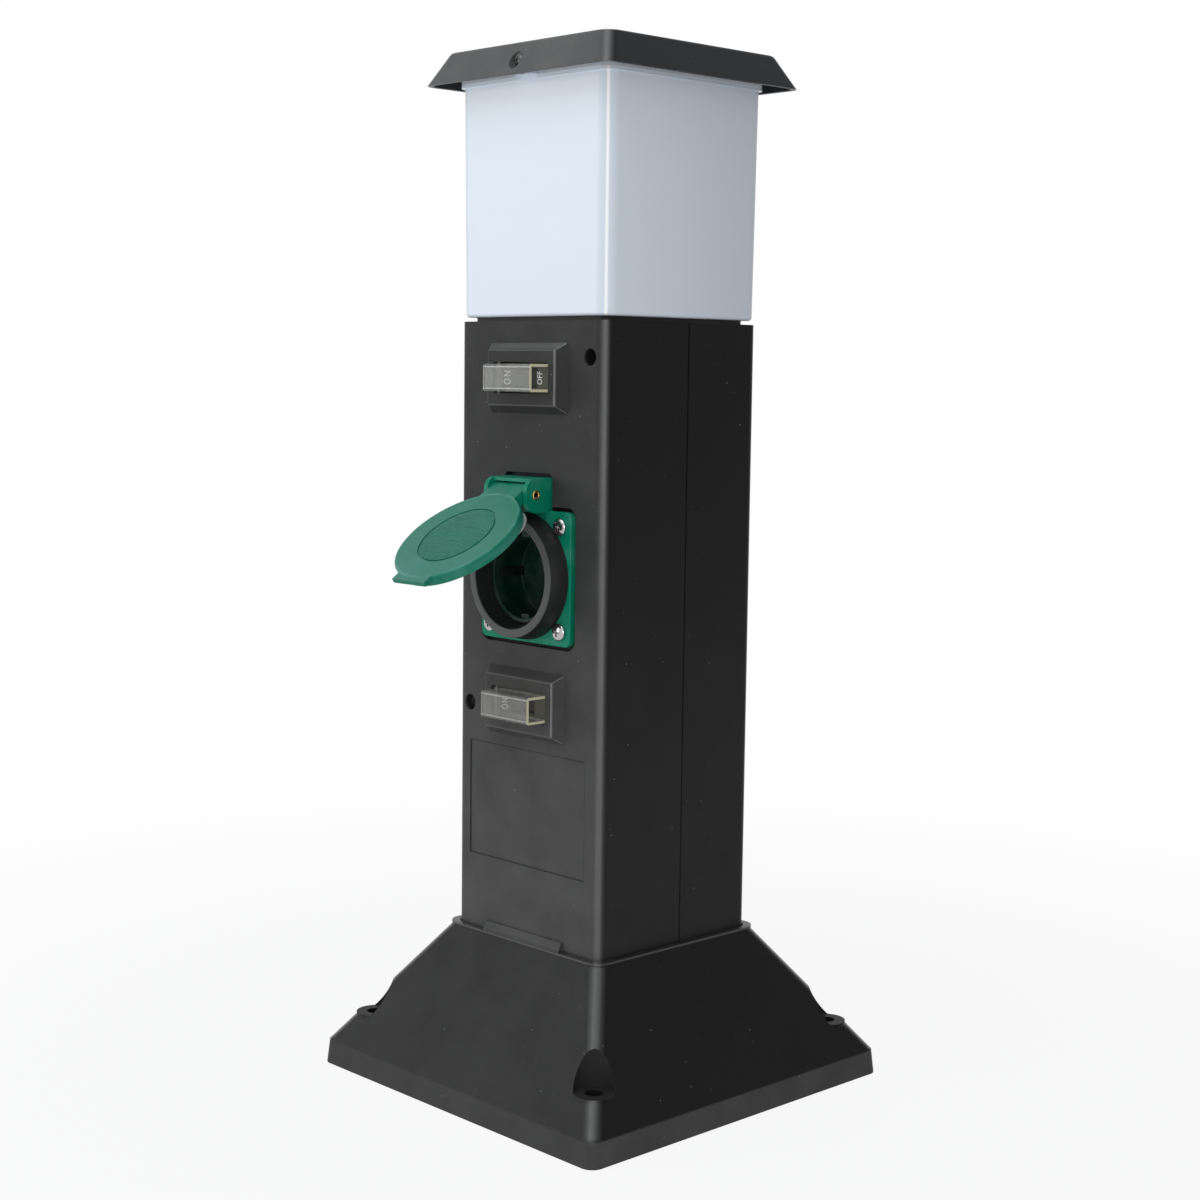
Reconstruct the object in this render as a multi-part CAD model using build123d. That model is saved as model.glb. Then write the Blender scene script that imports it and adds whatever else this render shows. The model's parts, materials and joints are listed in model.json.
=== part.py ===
from build123d import *
import os
from math import cos, pi, radians, sqrt, tan

# Garden power bollard with a lantern, two breakers behind clear hoods and a lidded socket.
# Millimetres, +Z up, the socket looks towards -Y, and the origin is on the ground under the column's axis.

# General fits
slip_gap = 0.3          # a piece that drops or slides into another
thread_gap = 0.05       # screw shank to the wall of its hole
running_gap = 0.06      # pin to the bore that turns on it

# Column of two half shells
column_width = 100.0
column_corner = 6.0
column_wall = 3.0
column_top = 361.4
seam_y = 2.5
seam_groove_width = 0.8
seam_groove_depth = 1.0
lap_length = 3.0
lap_thickness = 1.4
lap_gap = 0.2
corner_post_inset = 9.5
corner_post_half = 4.5
foot_post_height = 20.0
head_post_height = 6.4

# Plinth
plinth_width = 193.2
plinth_corner = 6.0
plinth_wall = 3.0
skirt_height = 11.4
skirt_draft = 1.0
lip_margin = 3.8
plinth_gap = 0.7
lip_overhang = 0.6
lip_bottom = 71.3
lip_thickness = 1.2
sleeve_wall = 3.0
sleeve_bottom = 40.0
ledge_thickness = 4.0
ledge_width = 6.3
ledge_corner_reach = 17.3
plinth_screw_grip = 14.0
tongue_length = 53.0
tongue_foot = 2.8
tongue_edge = 0.8
tongue_rise = 4.2
tongue_gap = 0.2

# Ground bolts
bolt_inset = 18.5
bolt_hole_radius = 4.0
pocket_radius = 9.1
pocket_floor = 25.7
pocket_wall = 2.4
bolt_tube_radius = 8.0
bolt_seat_depth = 6.0

# Heights on the front face
socket_drop = 116.6
upper_switch_rise = 90.7
lower_switch_drop = 59.8

# Recess for a rating label, left blank
label_width = 80.0
label_height = 55.0
label_z = 135.5
label_depth = 0.5

# Long screws that hold the two shells together
joint_tube_gap = 1.3
upper_joint_rise = 9.5
lower_joint_drop = 4.2
joint_access_radius = 3.85
joint_tube_wall = 1.35
joint_floor = 3.0
joint_post_radius = 4.4
joint_grip = 16.0

# Machine screws: head radius, head height, shank radius
m4_head = 3.4
m4_head_height = 2.2
m4_shank = 2.0
m3_head = 2.7
m3_head_height = 1.8
m3_shank = 1.5

# Raised surround of each breaker
surround_length = 53.0
surround_height = 32.6
surround_rise = 5.4
surround_taper = 3.7
surround_corner = 1.2
window_length = 37.8
window_height = 14.2
window_corner = 1.0

# Breakers, lying on their sides on a vertical rail
breaker_length = 68.0
breaker_width = 17.5
breaker_shoulder_gap = 1.5
rail_face_y = 12.0
nose_gap = 0.5
nose_rise = 1.4
face_plate = 0.6
wire_hole_radius = 2.0
wire_hole_pitch = 4.0
wire_hole_y = -14.0
wire_hole_length = 12.0
terminal_screw_inset = 6.0

# Lever of a breaker
lever_pivot_depth = 5.0
lever_reach = 16.5
lever_lean = 35.0
lever_half_width = 4.0
lever_root = 4.4
lever_tip = 3.4
lever_hub = 3.2
lever_pin_radius = 1.0
lever_side_gap = 0.4
lever_slot_gap = 0.4

# Clear hood over a lever
hood_left = -14.4
hood_right = 18.3
hood_height = 12.5
hood_back = 3.3
hood_front = 16.0
hood_wall = 1.2
hood_hinge_x = -16.2
hood_hinge_rise = 4.0
hood_barrel = 1.3
hood_pin_radius = 0.6
hood_pin_bite = 1.9

# Rail
rail_width = 35.0
rail_channel = 25.0
rail_depth = 7.5
rail_sheet = 1.0
rail_bottom = 118.0
rail_top = 350.0
rail_screw_low = 160.0
rail_screw_high = 300.0
rail_post_radius = 5.0
rail_screw_length = 14.0
hook_thickness = 3.5
hook_depth = 2.2

# Supply terminals and cord clamp
terminal_length = 40.0
terminal_depth = 34.0
terminal_low = 123.0
terminal_high = 147.0
terminal_pitch = 12.0
terminal_row = 10.0
terminal_lamp_row = 17.0
terminal_earth_row = 22.5
terminal_screw_margin = 6.0
terminal_screw_seat = 2.8
terminal_screw_length = 2.4
clamp_z = 90.0
clamp_height = 12.0
clamp_length = 32.0
clamp_seat_y = 34.0
clamp_bar = 4.5
clamp_groove = 4.0
clamp_screw_x = 11.0
clamp_screw_length = 14.0

# Socket
flange_width = 61.4
flange_corner = 3.5
flange_thickness = 3.2
recess_depth = 2.5
recess_gap = 1.8
recess_back_wall = 3.0
recess_rim = 3.0
gasket_thickness = 0.8
flange_screw_inset = 6.8
flange_screw_head = 4.0
flange_screw_length = 12.0
flange_boss_radius = 4.2
flange_boss_length = 7.0
shell_hole_radius = 25.2
well_radius = 19.75
well_wall = 2.05
well_rim_rise = 1.8
well_depth = 17.3
well_floor = 3.0
insert_ring_radius = 24.6
insert_ring_thickness = 3.0
guide_width = 5.4
guide_height = 2.0
pin_hole_radius = 2.8
pin_hole_offset = 9.5
collar_rise = 9.8
collar_inner = 22.0
collar_lip = 4.0
collar_front_margin = 2.7
collar_base_margin = 1.2
collar_round = 0.5
rear_cover_length = 29.0
rear_cover_wall = 2.2
cover_port_half = 7.0
cover_port_far = 11.0
cover_port_near = 3.5
cover_port_height = 5.0
rear_post_radius = 3.0
contact_radius = 4.0
contact_bore = 2.3
contact_length = 10.0
contact_block = 7.0
strap_thickness = 0.7
strap_half_width = 2.0
strap_wall_gap = 0.35
strap_bulge = 1.6
strap_eye = 5.2

# Hinge of the lid
hinge_forward = 6.6
hinge_lift = 7.4
housing_half = 14.8
housing_ear = 2.5
housing_top = 7.6
housing_bottom = 8.1
housing_front = 6.0
housing_round = 5.8
housing_roof = 2.0
housing_roof_front = 2.4
housing_back_wall = 4.3
hinge_pin_radius = 2.2
hinge_pin_bore = 1.1
hinge_pin_proud = 0.15

# Lid, drawn closed and then swung open
lid_open_angle = 55.6
lid_overlap = 0.5
lid_draft = 0.6
lid_outer_offset = 5.1
lid_depth = 5.2
lid_plate = 1.3
lid_skirt_wall = 2.2
lid_neck_gap = 0.3
lid_medal_radius = 19.5
lid_medal_depth = 0.5
lid_tab_width = 22.4
lid_tab_reach = 2.4
lid_tab_thickness = 2.2
lid_edge_round = 0.8
seal_inner_gap = 1.5
seal_outer_gap = 0.5
seal_thickness = 0.5

# Lantern
lamp_tray_thickness = 3.0
lamp_gasket_thickness = 1.9
lamp_neck_inset = 5.0
lamp_opening_inset = 12.5
lamp_opening_corner = 4.8
tray_upstand = 5.6
tray_upstand_wall = 2.2
wire_port_radius = 8.0
diffuser_wall = 2.2
diffuser_corner = 7.0
diffuser_foot_inset = 0.4
diffuser_head_margin = 0.4
diffuser_lip_z = 107.2
diffuser_lip = 1.2
diffuser_lip_thickness = 1.4
diffuser_foot_round = 1.6
diffuser_upstand = 9.6
diffuser_post_width = 12.0
diffuser_post_cover = 0.7

# Roof
roof_overhang = 12.9
roof_fascia_height = 14.9
roof_fascia_lean = 7.7
roof_eave_corner = 7.0
roof_edge_corner = 7.5
roof_drop = 0.4
roof_wall = 2.5
roof_rise = 6.5
roof_peak_half = 6.0
roof_edge_round = 2.5
roof_ring_wall = 2.2
roof_gasket_thickness = 2.6
roof_screw_rise = 6.4
roof_screw_pocket = 4.0
roof_screw_pocket_floor = 1.6
roof_screw_length = 7.0

# Lamp holder and bulb
holder_base_radius = 22.0
holder_base = 6.0
holder_radius = 15.5
holder_height = 31.0
holder_bore = 13.4
holder_socket_floor = 10.6
holder_cavity = 11.0
holder_screw_y = 18.5
holder_boss_radius = 3.6
holder_boss_length = 5.0
bulb_cap_radius = 13.2
bulb_cap_length = 26.0
bulb_radius = 29.0
bulb_length = 61.0

# Inner wires
wire_radius = 1.2
wire_bend = 4.0
wire_bury = 2.0
wire_wall_gap = 1.3
wire_end_gap = 1.8
wire_first_turn = 9.0
wire_turn_step = 3.0
wire_neutral_turn = 10.0
wire_earth_turn = 15.0
wire_lamp_turn = 18.0
wire_over_breaker = 11.0
wire_under_cross = 4.0
wire_under_tray = 8.0
wire_tray_gap = 4.6
wire_pair_half = 4.0
wire_port_rise = 4.0
wire_port_depth = 7.0
wire_lamp_rise = 4.0

# Places worked out from the sizes above
column_half = column_width / 2
column_inner = column_half - column_wall
face_y = -column_half
column_foot = sleeve_bottom + ledge_thickness
socket_z = column_top - socket_drop
upper_switch_z = socket_z + upper_switch_rise
lower_switch_z = socket_z - lower_switch_drop
plinth_half = plinth_width / 2
lip_half = column_half + lip_margin
lip_top = lip_bottom + lip_thickness
sleeve_inner = column_half + plinth_gap
sleeve_outer = sleeve_inner + sleeve_wall
post_centre = column_half - corner_post_inset
bolt_offset = plinth_half - bolt_inset
joint_tube_radius = joint_access_radius + joint_tube_wall
joint_x = breaker_length / 2 + joint_tube_gap + joint_tube_radius
joint_points = [
    (joint_x, upper_switch_z + upper_joint_rise),
    (-joint_x, lower_switch_z - lower_joint_drop),
]
rail_back_y = rail_face_y + rail_depth
shoulder_y = face_y + column_wall + breaker_shoulder_gap
nose_front_y = face_y - nose_rise
plate_front_y = nose_front_y - face_plate
lever_pivot_y = face_y + lever_pivot_depth
hood_hinge_y = face_y - hood_hinge_rise
flange_half = flange_width / 2
flange_screw_offset = flange_half - flange_screw_inset
collar_front_radius = flange_half - collar_front_margin
collar_base_radius = flange_half - collar_base_margin
hinge_rise = flange_half + hinge_lift
lid_radius = flange_half + lid_overlap
lid_outer_radius = lid_radius - lid_draft
lid_skirt_inner = lid_radius - lid_skirt_wall
seal_outer = lid_skirt_inner - seal_outer_gap
seal_inner = collar_inner - seal_inner_gap
recess_floor_y = face_y + recess_depth
flange_back_y = recess_floor_y - gasket_thickness
flange_front_y = flange_back_y - flange_thickness
hinge_y = flange_front_y - hinge_forward
hinge_z = socket_z + hinge_rise
well_rim_y = flange_front_y - well_rim_rise
well_floor_y = well_rim_y + well_depth
insert_back_y = well_floor_y + well_floor
insert_ring_back_y = flange_back_y + insert_ring_thickness
rear_cover_back_y = insert_ring_back_y + rear_cover_length
lid_outer_y = hinge_y - lid_outer_offset
lid_inner_y = lid_outer_y + lid_plate
lid_skirt_y = lid_outer_y + lid_depth
neck_half = housing_half - housing_ear - lid_neck_gap
tray_bottom = column_top - lamp_tray_thickness
neck_half_width = column_half - lamp_neck_inset
lamp_opening_half = column_half - lamp_opening_inset
diffuser_bottom = column_top + lamp_gasket_thickness
lip_z = diffuser_bottom + diffuser_lip_z - diffuser_lip_thickness
diffuser_lip_top = lip_z + diffuser_lip_thickness
diffuser_head_half = column_half + diffuser_head_margin
roof_bottom = diffuser_lip_top - roof_drop
roof_eave_half = column_half + roof_overhang
roof_edge_z = roof_bottom + roof_fascia_height
roof_edge_half = roof_eave_half - roof_fascia_lean
roof_ring_bottom = diffuser_lip_top + roof_gasket_thickness
roof_screw_z = roof_bottom + roof_screw_rise


def block(x0, x1, y0, y1, z0, z1):
    """Box between two opposite corners."""
    return Pos((x0 + x1) / 2, (y0 + y1) / 2, (z0 + z1) / 2) * Box(x1 - x0, y1 - y0, z1 - z0)


def rod_x(y, z, x0, x1, radius):
    """Round bar along X."""
    return Pos((x0 + x1) / 2, y, z) * Rot(0, 90, 0) * Cylinder(radius, x1 - x0)


def rod_y(x, z, y0, y1, radius):
    """Round bar along Y."""
    return Pos(x, (y0 + y1) / 2, z) * Rot(90, 0, 0) * Cylinder(radius, y1 - y0)


def rod_z(x, y, z0, z1, radius):
    """Round bar along Z."""
    return Pos(x, y, (z0 + z1) / 2) * Cylinder(radius, z1 - z0)


def prism(half, corner, z0, z1):
    """Upright square bar with rounded corners."""
    return extrude(Pos(0, 0, z0) * RectangleRounded(2 * half, 2 * half, corner), z1 - z0)


def taper(half0, corner0, z0, half1, corner1, z1):
    """Square block with rounded corners that narrows or widens with height."""
    low = Pos(0, 0, z0) * RectangleRounded(2 * half0, 2 * half0, corner0)
    high = Pos(0, 0, z1) * RectangleRounded(2 * half1, 2 * half1, corner1)
    return loft([low, high], ruled=True)


def front_plane(x, y, z):
    """Plane that faces -Y, with its own x along +X and its own y along +Z."""
    return Plane(origin=(x, y, z), x_dir=(1, 0, 0), z_dir=(0, -1, 0))


def back_plane(x, y, z):
    """Plane that faces +Y."""
    return Plane(origin=(x, y, z), x_dir=(-1, 0, 0), z_dir=(0, 1, 0))


def side_plane(x):
    """Plane that faces +X, with its own x along +Y and its own y along +Z."""
    return Plane(origin=(x, 0, 0), x_dir=(0, 1, 0), z_dir=(1, 0, 0))


def corners(offset):
    """The four points of a square about the column's axis."""
    return [(sx * offset, sy * offset) for sx in (-1, 1) for sy in (-1, 1)]


def screw(head_radius, head_height, shank_radius, length):
    """Domed cross-head screw along Z, its head resting on z = 0 and its shank below."""
    edge = 0.4 * head_height
    dome = head_height - edge
    sphere = (head_radius ** 2 + dome ** 2) / (2 * dome)
    middle = head_radius / 2
    middle_z = head_height - sphere + sqrt(sphere ** 2 - middle ** 2)
    tip = shank_radius / 2
    outline = [
        Line((0, -length), (tip, -length)),
        Line((tip, -length), (shank_radius, tip - length)),
        Line((shank_radius, tip - length), (shank_radius, 0)),
        Line((shank_radius, 0), (head_radius, 0)),
        Line((head_radius, 0), (head_radius, edge)),
        ThreePointArc((head_radius, edge), (middle, middle_z), (0, head_height)),
        Line((0, head_height), (0, -length)),
    ]
    body = revolve(Plane.XZ * make_face(outline), Axis.Z)
    slot_length = 1.15 * head_radius
    slot_width = 0.26 * head_radius
    slot_depth = 0.6 * head_height
    cross = Box(slot_length, slot_width, 2 * slot_depth) + Box(slot_width, slot_length, 2 * slot_depth)
    return body - Pos(0, 0, head_height) * cross


def placed(planes, part):
    """Copies of one part, one on each plane, as a group of separate solids."""
    return Compound(children=[plane.location * part for plane in planes])


def plinth():
    """Hollow foot: skirt, four sloping sides, lip, sleeve for the column and bolt pockets."""
    skirt_half = plinth_half - skirt_draft
    slope_half = lip_half - lip_overhang
    lip_corner = column_corner + lip_margin / 2
    slope_wall = 1.22 * plinth_wall
    outer = taper(plinth_half, plinth_corner, 0, skirt_half, plinth_corner, skirt_height)
    outer += taper(skirt_half, plinth_corner, skirt_height, slope_half, lip_corner, lip_bottom)
    outer += prism(lip_half, lip_corner, lip_bottom, lip_top)
    inner_corner = plinth_corner - plinth_wall
    hollow = taper(plinth_half - plinth_wall, inner_corner, 0,
                   skirt_half - slope_wall, inner_corner, skirt_height)
    hollow += taper(skirt_half - slope_wall, inner_corner, skirt_height,
                    slope_half - slope_wall, lip_corner - plinth_wall, lip_bottom)
    body = outer - hollow
    body += prism(sleeve_outer, column_corner + sleeve_wall, sleeve_bottom, lip_bottom)
    body -= prism(sleeve_inner, column_corner + plinth_gap, column_foot, lip_top + tongue_rise)
    open_half = sleeve_inner - ledge_width
    post_half = sleeve_inner - ledge_corner_reach
    body -= block(-open_half, open_half, -post_half, post_half, sleeve_bottom, column_foot)
    body -= block(-post_half, post_half, -open_half, open_half, sleeve_bottom, column_foot)
    for x, y in corners(bolt_offset):
        cup = rod_z(x, y, pocket_floor - plinth_wall, lip_bottom, pocket_radius + pocket_wall)
        body += cup & outer
        body += rod_z(x, y, 0, pocket_floor, bolt_tube_radius)
        body += rod_z(x, y, pocket_floor - bolt_seat_depth, pocket_floor, pocket_radius)
    for x, y in corners(bolt_offset):
        body -= rod_z(x, y, pocket_floor, lip_top, pocket_radius)
        body -= rod_z(x, y, -1, pocket_floor, bolt_hole_radius)
    for x, y in corners(post_centre):
        body -= rod_z(x, y, sleeve_bottom, column_foot, m4_shank + slip_gap)
    back = face_y - tongue_gap
    low = lip_top - lip_thickness
    high = lip_top + tongue_rise
    wedge = make_face(Polyline((back, low), (back - tongue_foot, low), (back - tongue_foot, lip_top),
                               (back - tongue_edge, high), (back, high), close=True))
    return body + extrude(side_plane(-tongue_length / 2) * wedge, tongue_length)


def column_tube():
    """Whole column before it is split: walls and the posts in its corners."""
    outer = prism(column_half, column_corner, column_foot, column_top)
    tube = outer - prism(column_inner, column_corner - column_wall, column_foot, column_top)
    for x, y in corners(post_centre):
        sx = 1 if x > 0 else -1
        sy = 1 if y > 0 else -1
        x0, x1 = sorted((x - sx * corner_post_half, sx * column_half))
        y0, y1 = sorted((y - sy * corner_post_half, sy * column_half))
        foot = block(x0, x1, y0, y1, column_foot, column_foot + foot_post_height)
        head = block(x0, x1, y0, y1, tray_bottom - head_post_height, tray_bottom)
        tube += (foot + head) & outer
        tube -= rod_z(x, y, column_foot, column_foot + foot_post_height - 2, m4_shank + thread_gap)
        tube -= rod_z(x, y, tray_bottom - head_post_height, column_top, m4_shank + thread_gap)
    return tube


def lap_bars(thickness, length):
    """Two upright bars just inside the side walls, from the seam towards the back."""
    bars = Part()
    for side in (-1, 1):
        x0, x1 = sorted((side * column_inner, side * (column_inner + thickness)))
        bars += block(x0, x1, seam_y, seam_y + length, column_foot, tray_bottom)
    return bars


def surround(z):
    """Raised frame round a breaker's window."""
    low = front_plane(0, face_y, z) * RectangleRounded(surround_length, surround_height, surround_corner)
    top_length = surround_length - 2 * surround_taper
    top_height = surround_height - 2 * surround_taper
    high = front_plane(0, face_y - surround_rise, z) * RectangleRounded(
        top_length, top_height, surround_corner)
    return loft([low, high], ruled=True) + extrude(low, -1)


def window(z):
    """Cut for a breaker's nose, with the two blind holes for the hood's pin."""
    sketch = front_plane(0, face_y + column_wall + 1, z) * RectangleRounded(
        window_length, window_height, window_corner)
    cut = extrude(sketch, surround_rise + column_wall + 2)
    reach = window_height / 2 + hood_pin_bite + slip_gap
    cut += rod_z(hood_hinge_x, hood_hinge_y, z - reach, z + reach, hood_pin_radius + thread_gap)
    return cut


def socket_outline(margin):
    """Outline of the socket flange and its hinge housing, grown by a margin."""
    plate_size = flange_width + 2 * margin
    plate = RectangleRounded(plate_size, plate_size, flange_corner + margin)
    low = 0
    high = hinge_rise + housing_top + margin
    head = Pos(0, (low + high) / 2) * RectangleRounded(
        2 * (housing_half + margin), high - low, 1 + margin)
    return plate + head


def column_front():
    """Front half shell."""
    tube = column_tube()
    shell = tube & block(-column_half, column_half, -column_half, seam_y, column_foot, column_top)
    shell += lap_bars(lap_thickness, lap_length)
    back_half = flange_half + recess_gap + recess_rim
    back_top = socket_z + hinge_rise + housing_top + recess_gap + recess_rim
    shell += block(-back_half, back_half, face_y + 1, recess_floor_y + recess_back_wall,
                   socket_z - back_half, back_top)
    for z in (upper_switch_z, lower_switch_z):
        shell += surround(z)
    for sx in (-1, 1):
        for sz in (-1, 1):
            shell += rod_y(sx * flange_screw_offset, socket_z + sz * flange_screw_offset,
                           recess_floor_y, recess_floor_y + flange_boss_length, flange_boss_radius)
    core = prism(column_half - 1, column_corner - 1, column_foot, column_top)
    for x, z in joint_points:
        side = 1 if x > 0 else -1
        x0, x1 = sorted((x, side * column_half))
        tube = rod_y(x, z, face_y + 1, seam_y, joint_tube_radius)
        web = block(x0, x1, face_y + 1, seam_y, z - 1, z + 1)
        shell += (tube + web) & core
    recess = front_plane(0, recess_floor_y, socket_z) * socket_outline(recess_gap)
    shell -= extrude(recess, recess_depth + 1)
    shell -= rod_y(0, socket_z, face_y, recess_floor_y + recess_back_wall + 1, shell_hole_radius)
    for sx in (-1, 1):
        for sz in (-1, 1):
            shell -= rod_y(sx * flange_screw_offset, socket_z + sz * flange_screw_offset,
                           recess_floor_y, recess_floor_y + flange_boss_length, m3_shank + thread_gap)
    for z in (upper_switch_z, lower_switch_z):
        shell -= window(z)
    for x, z in joint_points:
        shell -= rod_y(x, z, face_y - 1, seam_y - joint_floor, joint_access_radius)
        shell -= rod_y(x, z, seam_y - joint_floor, seam_y, m4_shank + slip_gap)
    shell -= block(-label_width / 2, label_width / 2, face_y, face_y + label_depth,
                   label_z - label_height / 2, label_z + label_height / 2)
    return shell


def column_rear():
    """Rear half shell with its posts, rail posts and the seat of the cord clamp."""
    tube = column_tube()
    shell = tube & block(-column_half, column_half, seam_y, column_half, column_foot, column_top)
    core = prism(column_half - 1, column_corner - 1, column_foot, column_top)
    for x, z in joint_points:
        side = 1 if x > 0 else -1
        x0, x1 = sorted((x, side * column_half))
        post = rod_y(x, z, seam_y, column_half, joint_post_radius)
        web = block(x0, x1, seam_y + lap_length + 1, column_half, z - 1, z + 1)
        shell += (post + web) & core
        shell -= rod_y(x, z, seam_y, seam_y + joint_grip + 1, m4_shank + thread_gap)
    for z in (rail_screw_low, rail_screw_high):
        shell += rod_y(0, z, rail_back_y, column_half - 1, rail_post_radius)
        shell -= rod_y(0, z, rail_back_y, rail_back_y + rail_screw_length, m4_shank + thread_gap)
    seat = block(-clamp_length / 2, clamp_length / 2, clamp_seat_y, column_half - 1,
                 clamp_z - clamp_height / 2, clamp_z + clamp_height / 2)
    seat -= rod_z(0, clamp_seat_y, clamp_z - clamp_height, clamp_z + clamp_height, clamp_groove)
    for side in (-1, 1):
        seat -= rod_y(side * clamp_screw_x, clamp_z, clamp_seat_y, clamp_seat_y + clamp_screw_length - 4,
                      m3_shank + thread_gap)
    shell += seat
    shell -= lap_bars(lap_thickness + lap_gap, lap_length + lap_gap)
    for side in (-1, 1):
        x0, x1 = sorted((side * (column_half - seam_groove_depth), side * (column_half + 1)))
        shell -= block(x0, x1, seam_y, seam_y + seam_groove_width, column_foot - 1, column_top + 1)
    return shell


def column_screws():
    """The two long screws, deep in their access holes."""
    head_y = seam_y - joint_floor
    planes = [front_plane(x, head_y, z) for x, z in joint_points]
    return placed(planes, screw(m4_head, m4_head_height, m4_shank, joint_floor + joint_grip))


def plinth_screws():
    """Four screws up through the plinth's ledge into the column's foot posts."""
    planes = [Plane(origin=(x, y, sleeve_bottom), x_dir=(1, 0, 0), z_dir=(0, 0, -1))
              for x, y in corners(post_centre)]
    return placed(planes, screw(m4_head, m4_head_height, m4_shank, ledge_thickness + plinth_screw_grip))


def rail():
    """Vertical hat-section rail that carries the breakers and the supply terminals."""
    half = rail_width / 2
    channel = rail_channel / 2
    body = block(-half, half, rail_face_y, rail_face_y + rail_sheet, rail_bottom, rail_top)
    body += block(-channel, channel, rail_face_y, rail_back_y, rail_bottom, rail_top)
    body -= block(rail_sheet - channel, channel - rail_sheet, rail_face_y, rail_back_y - rail_sheet,
                  rail_bottom, rail_top)
    for z in (rail_screw_low, rail_screw_high):
        body -= rod_y(0, z, rail_face_y, rail_back_y, m4_shank + slip_gap)
    return body


def rail_screws():
    """Two screws through the rail into the rear shell's posts."""
    planes = [front_plane(0, rail_back_y - rail_sheet, z) for z in (rail_screw_low, rail_screw_high)]
    return placed(planes, screw(m4_head, m4_head_height, m4_shank, rail_screw_length))


def rail_hooks(z0, z1):
    """Claws on the back of a rail-mounted piece, round the rail's two edges."""
    half = rail_width / 2
    claws = Part()
    for side in (-1, 1):
        leg = sorted((side * (half + slip_gap), side * (half + slip_gap + hook_thickness)))
        toe = sorted((side * (half - hook_depth), side * (half + slip_gap + hook_thickness)))
        toe_y = rail_face_y + rail_sheet + slip_gap
        claws += block(leg[0], leg[1], rail_face_y - 1, toe_y + hook_depth, z0, z1)
        claws += block(toe[0], toe[1], toe_y, toe_y + hook_depth, z0, z1)
    return claws


def breaker_body(z):
    """Housing of a breaker: body, nose in the window, lever slot, wire holes and claws."""
    half = breaker_width / 2
    end = breaker_length / 2
    nose_x = window_length / 2 - nose_gap
    nose_z = window_height / 2 - nose_gap
    body = block(-end, end, shoulder_y, rail_face_y, z - half, z + half)
    body += block(-nose_x, nose_x, nose_front_y, shoulder_y + 1, z - nose_z, z + nose_z)
    body += rail_hooks(z - half + 2, z + half - 2)
    slot_z = lever_half_width + lever_side_gap
    slot_x = lever_slot_half()
    body -= block(-slot_x, slot_x, nose_front_y, lever_pivot_y + lever_hub + 1, z - slot_z, z + slot_z)
    pin_reach = slot_z + 2.6
    body -= rod_z(0, lever_pivot_y, z - pin_reach, z + pin_reach, lever_pin_radius + thread_gap)
    for side in (-1, 1):
        x0, x1 = sorted((side * (end - wire_hole_length), side * end))
        for offset in (-wire_hole_pitch, wire_hole_pitch):
            body -= rod_x(wire_hole_y, z + offset, x0, x1, wire_hole_radius)
        screw_x = side * (end - terminal_screw_inset)
        body -= rod_y(screw_x, z, shoulder_y, wire_hole_y, m3_head + slip_gap)
    return body


def lever_slot_half():
    """Half length of the slot that a swinging lever needs at the face plate."""
    lean = radians(lever_lean)
    depth = lever_pivot_depth + nose_rise + face_plate
    return depth * tan(lean) + lever_root / 2 / cos(lean) + lever_slot_gap


def breaker_plate(z):
    """Dark face plate that carries the ON and OFF marks."""
    nose_x = window_length / 2 - nose_gap
    nose_z = window_height / 2 - nose_gap
    slot_z = lever_half_width + lever_side_gap
    slot_x = lever_slot_half()
    plate = block(-nose_x, nose_x, plate_front_y, nose_front_y, z - nose_z, z + nose_z)
    return plate - block(-slot_x, slot_x, plate_front_y, nose_front_y, z - slot_z, z + slot_z)


def breaker_screws(z):
    """The two terminal screws of a breaker, sunk in their holes."""
    head_y = wire_hole_y - 3
    planes = [front_plane(side * (breaker_length / 2 - terminal_screw_inset), head_y, z)
              for side in (-1, 1)]
    return placed(planes, screw(m3_head, m3_head_height, m3_shank, 3))


def breaker_lever(z):
    """Lever with its hub, leaning left to ON."""
    root = lever_root / 2
    tip = lever_tip / 2
    blade = make_face(Polyline((-root, 0), (root, 0), (tip, lever_reach), (-tip, lever_reach), close=True))
    # The sketch's own y is the lever's length, so it is laid pointing out of the front face.
    flat = Plane(origin=(0, lever_pivot_y, z - lever_half_width), x_dir=(1, 0, 0), z_dir=(0, 0, -1))
    lever = extrude(flat * blade, -2 * lever_half_width)
    lever += rod_z(0, lever_pivot_y, z - lever_half_width, z + lever_half_width, lever_hub)
    lever -= rod_z(0, lever_pivot_y, z - lever_half_width, z + lever_half_width,
                   lever_pin_radius + running_gap)
    axis = Axis((0, lever_pivot_y, z), (0, 0, -1))
    return lever.rotate(axis, lever_lean)


def lever_pin(z):
    """Steel pin that the lever turns on."""
    reach = lever_half_width + lever_side_gap + 2.5
    return rod_z(0, lever_pivot_y, z - reach, z + reach, lever_pin_radius)


def breaker_hood(z):
    """Clear cover, open at its back and right end, with a hinge barrel at its left end."""
    half = hood_height / 2
    front = face_y - hood_front
    back = face_y - hood_back
    shell = block(hood_left, hood_right, front, back, z - half, z + half)
    upright = shell.edges().filter_by(Axis.Y).sort_by(Axis.X)[:2]
    shell = fillet(upright, 1.0)
    shell -= block(hood_left + hood_wall, hood_right + 1, front + hood_wall, back + 1,
                   z - half + hood_wall, z + half - hood_wall)
    shell += block(hood_hinge_x, hood_left + hood_wall / 2, hood_hinge_y - hood_barrel + 0.4,
                   hood_hinge_y + 0.7, z - half + 1, z + half - 1)
    shell += rod_z(hood_hinge_x, hood_hinge_y, z - half, z + half, hood_barrel)
    return shell - rod_z(hood_hinge_x, hood_hinge_y, z - half, z + half, hood_pin_radius + running_gap)


def hood_pin(z):
    """Pin of a hood, held in the two side walls of the window."""
    reach = window_height / 2 + hood_pin_bite
    return rod_z(hood_hinge_x, hood_hinge_y, z - reach, z + reach, hood_pin_radius)


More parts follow.
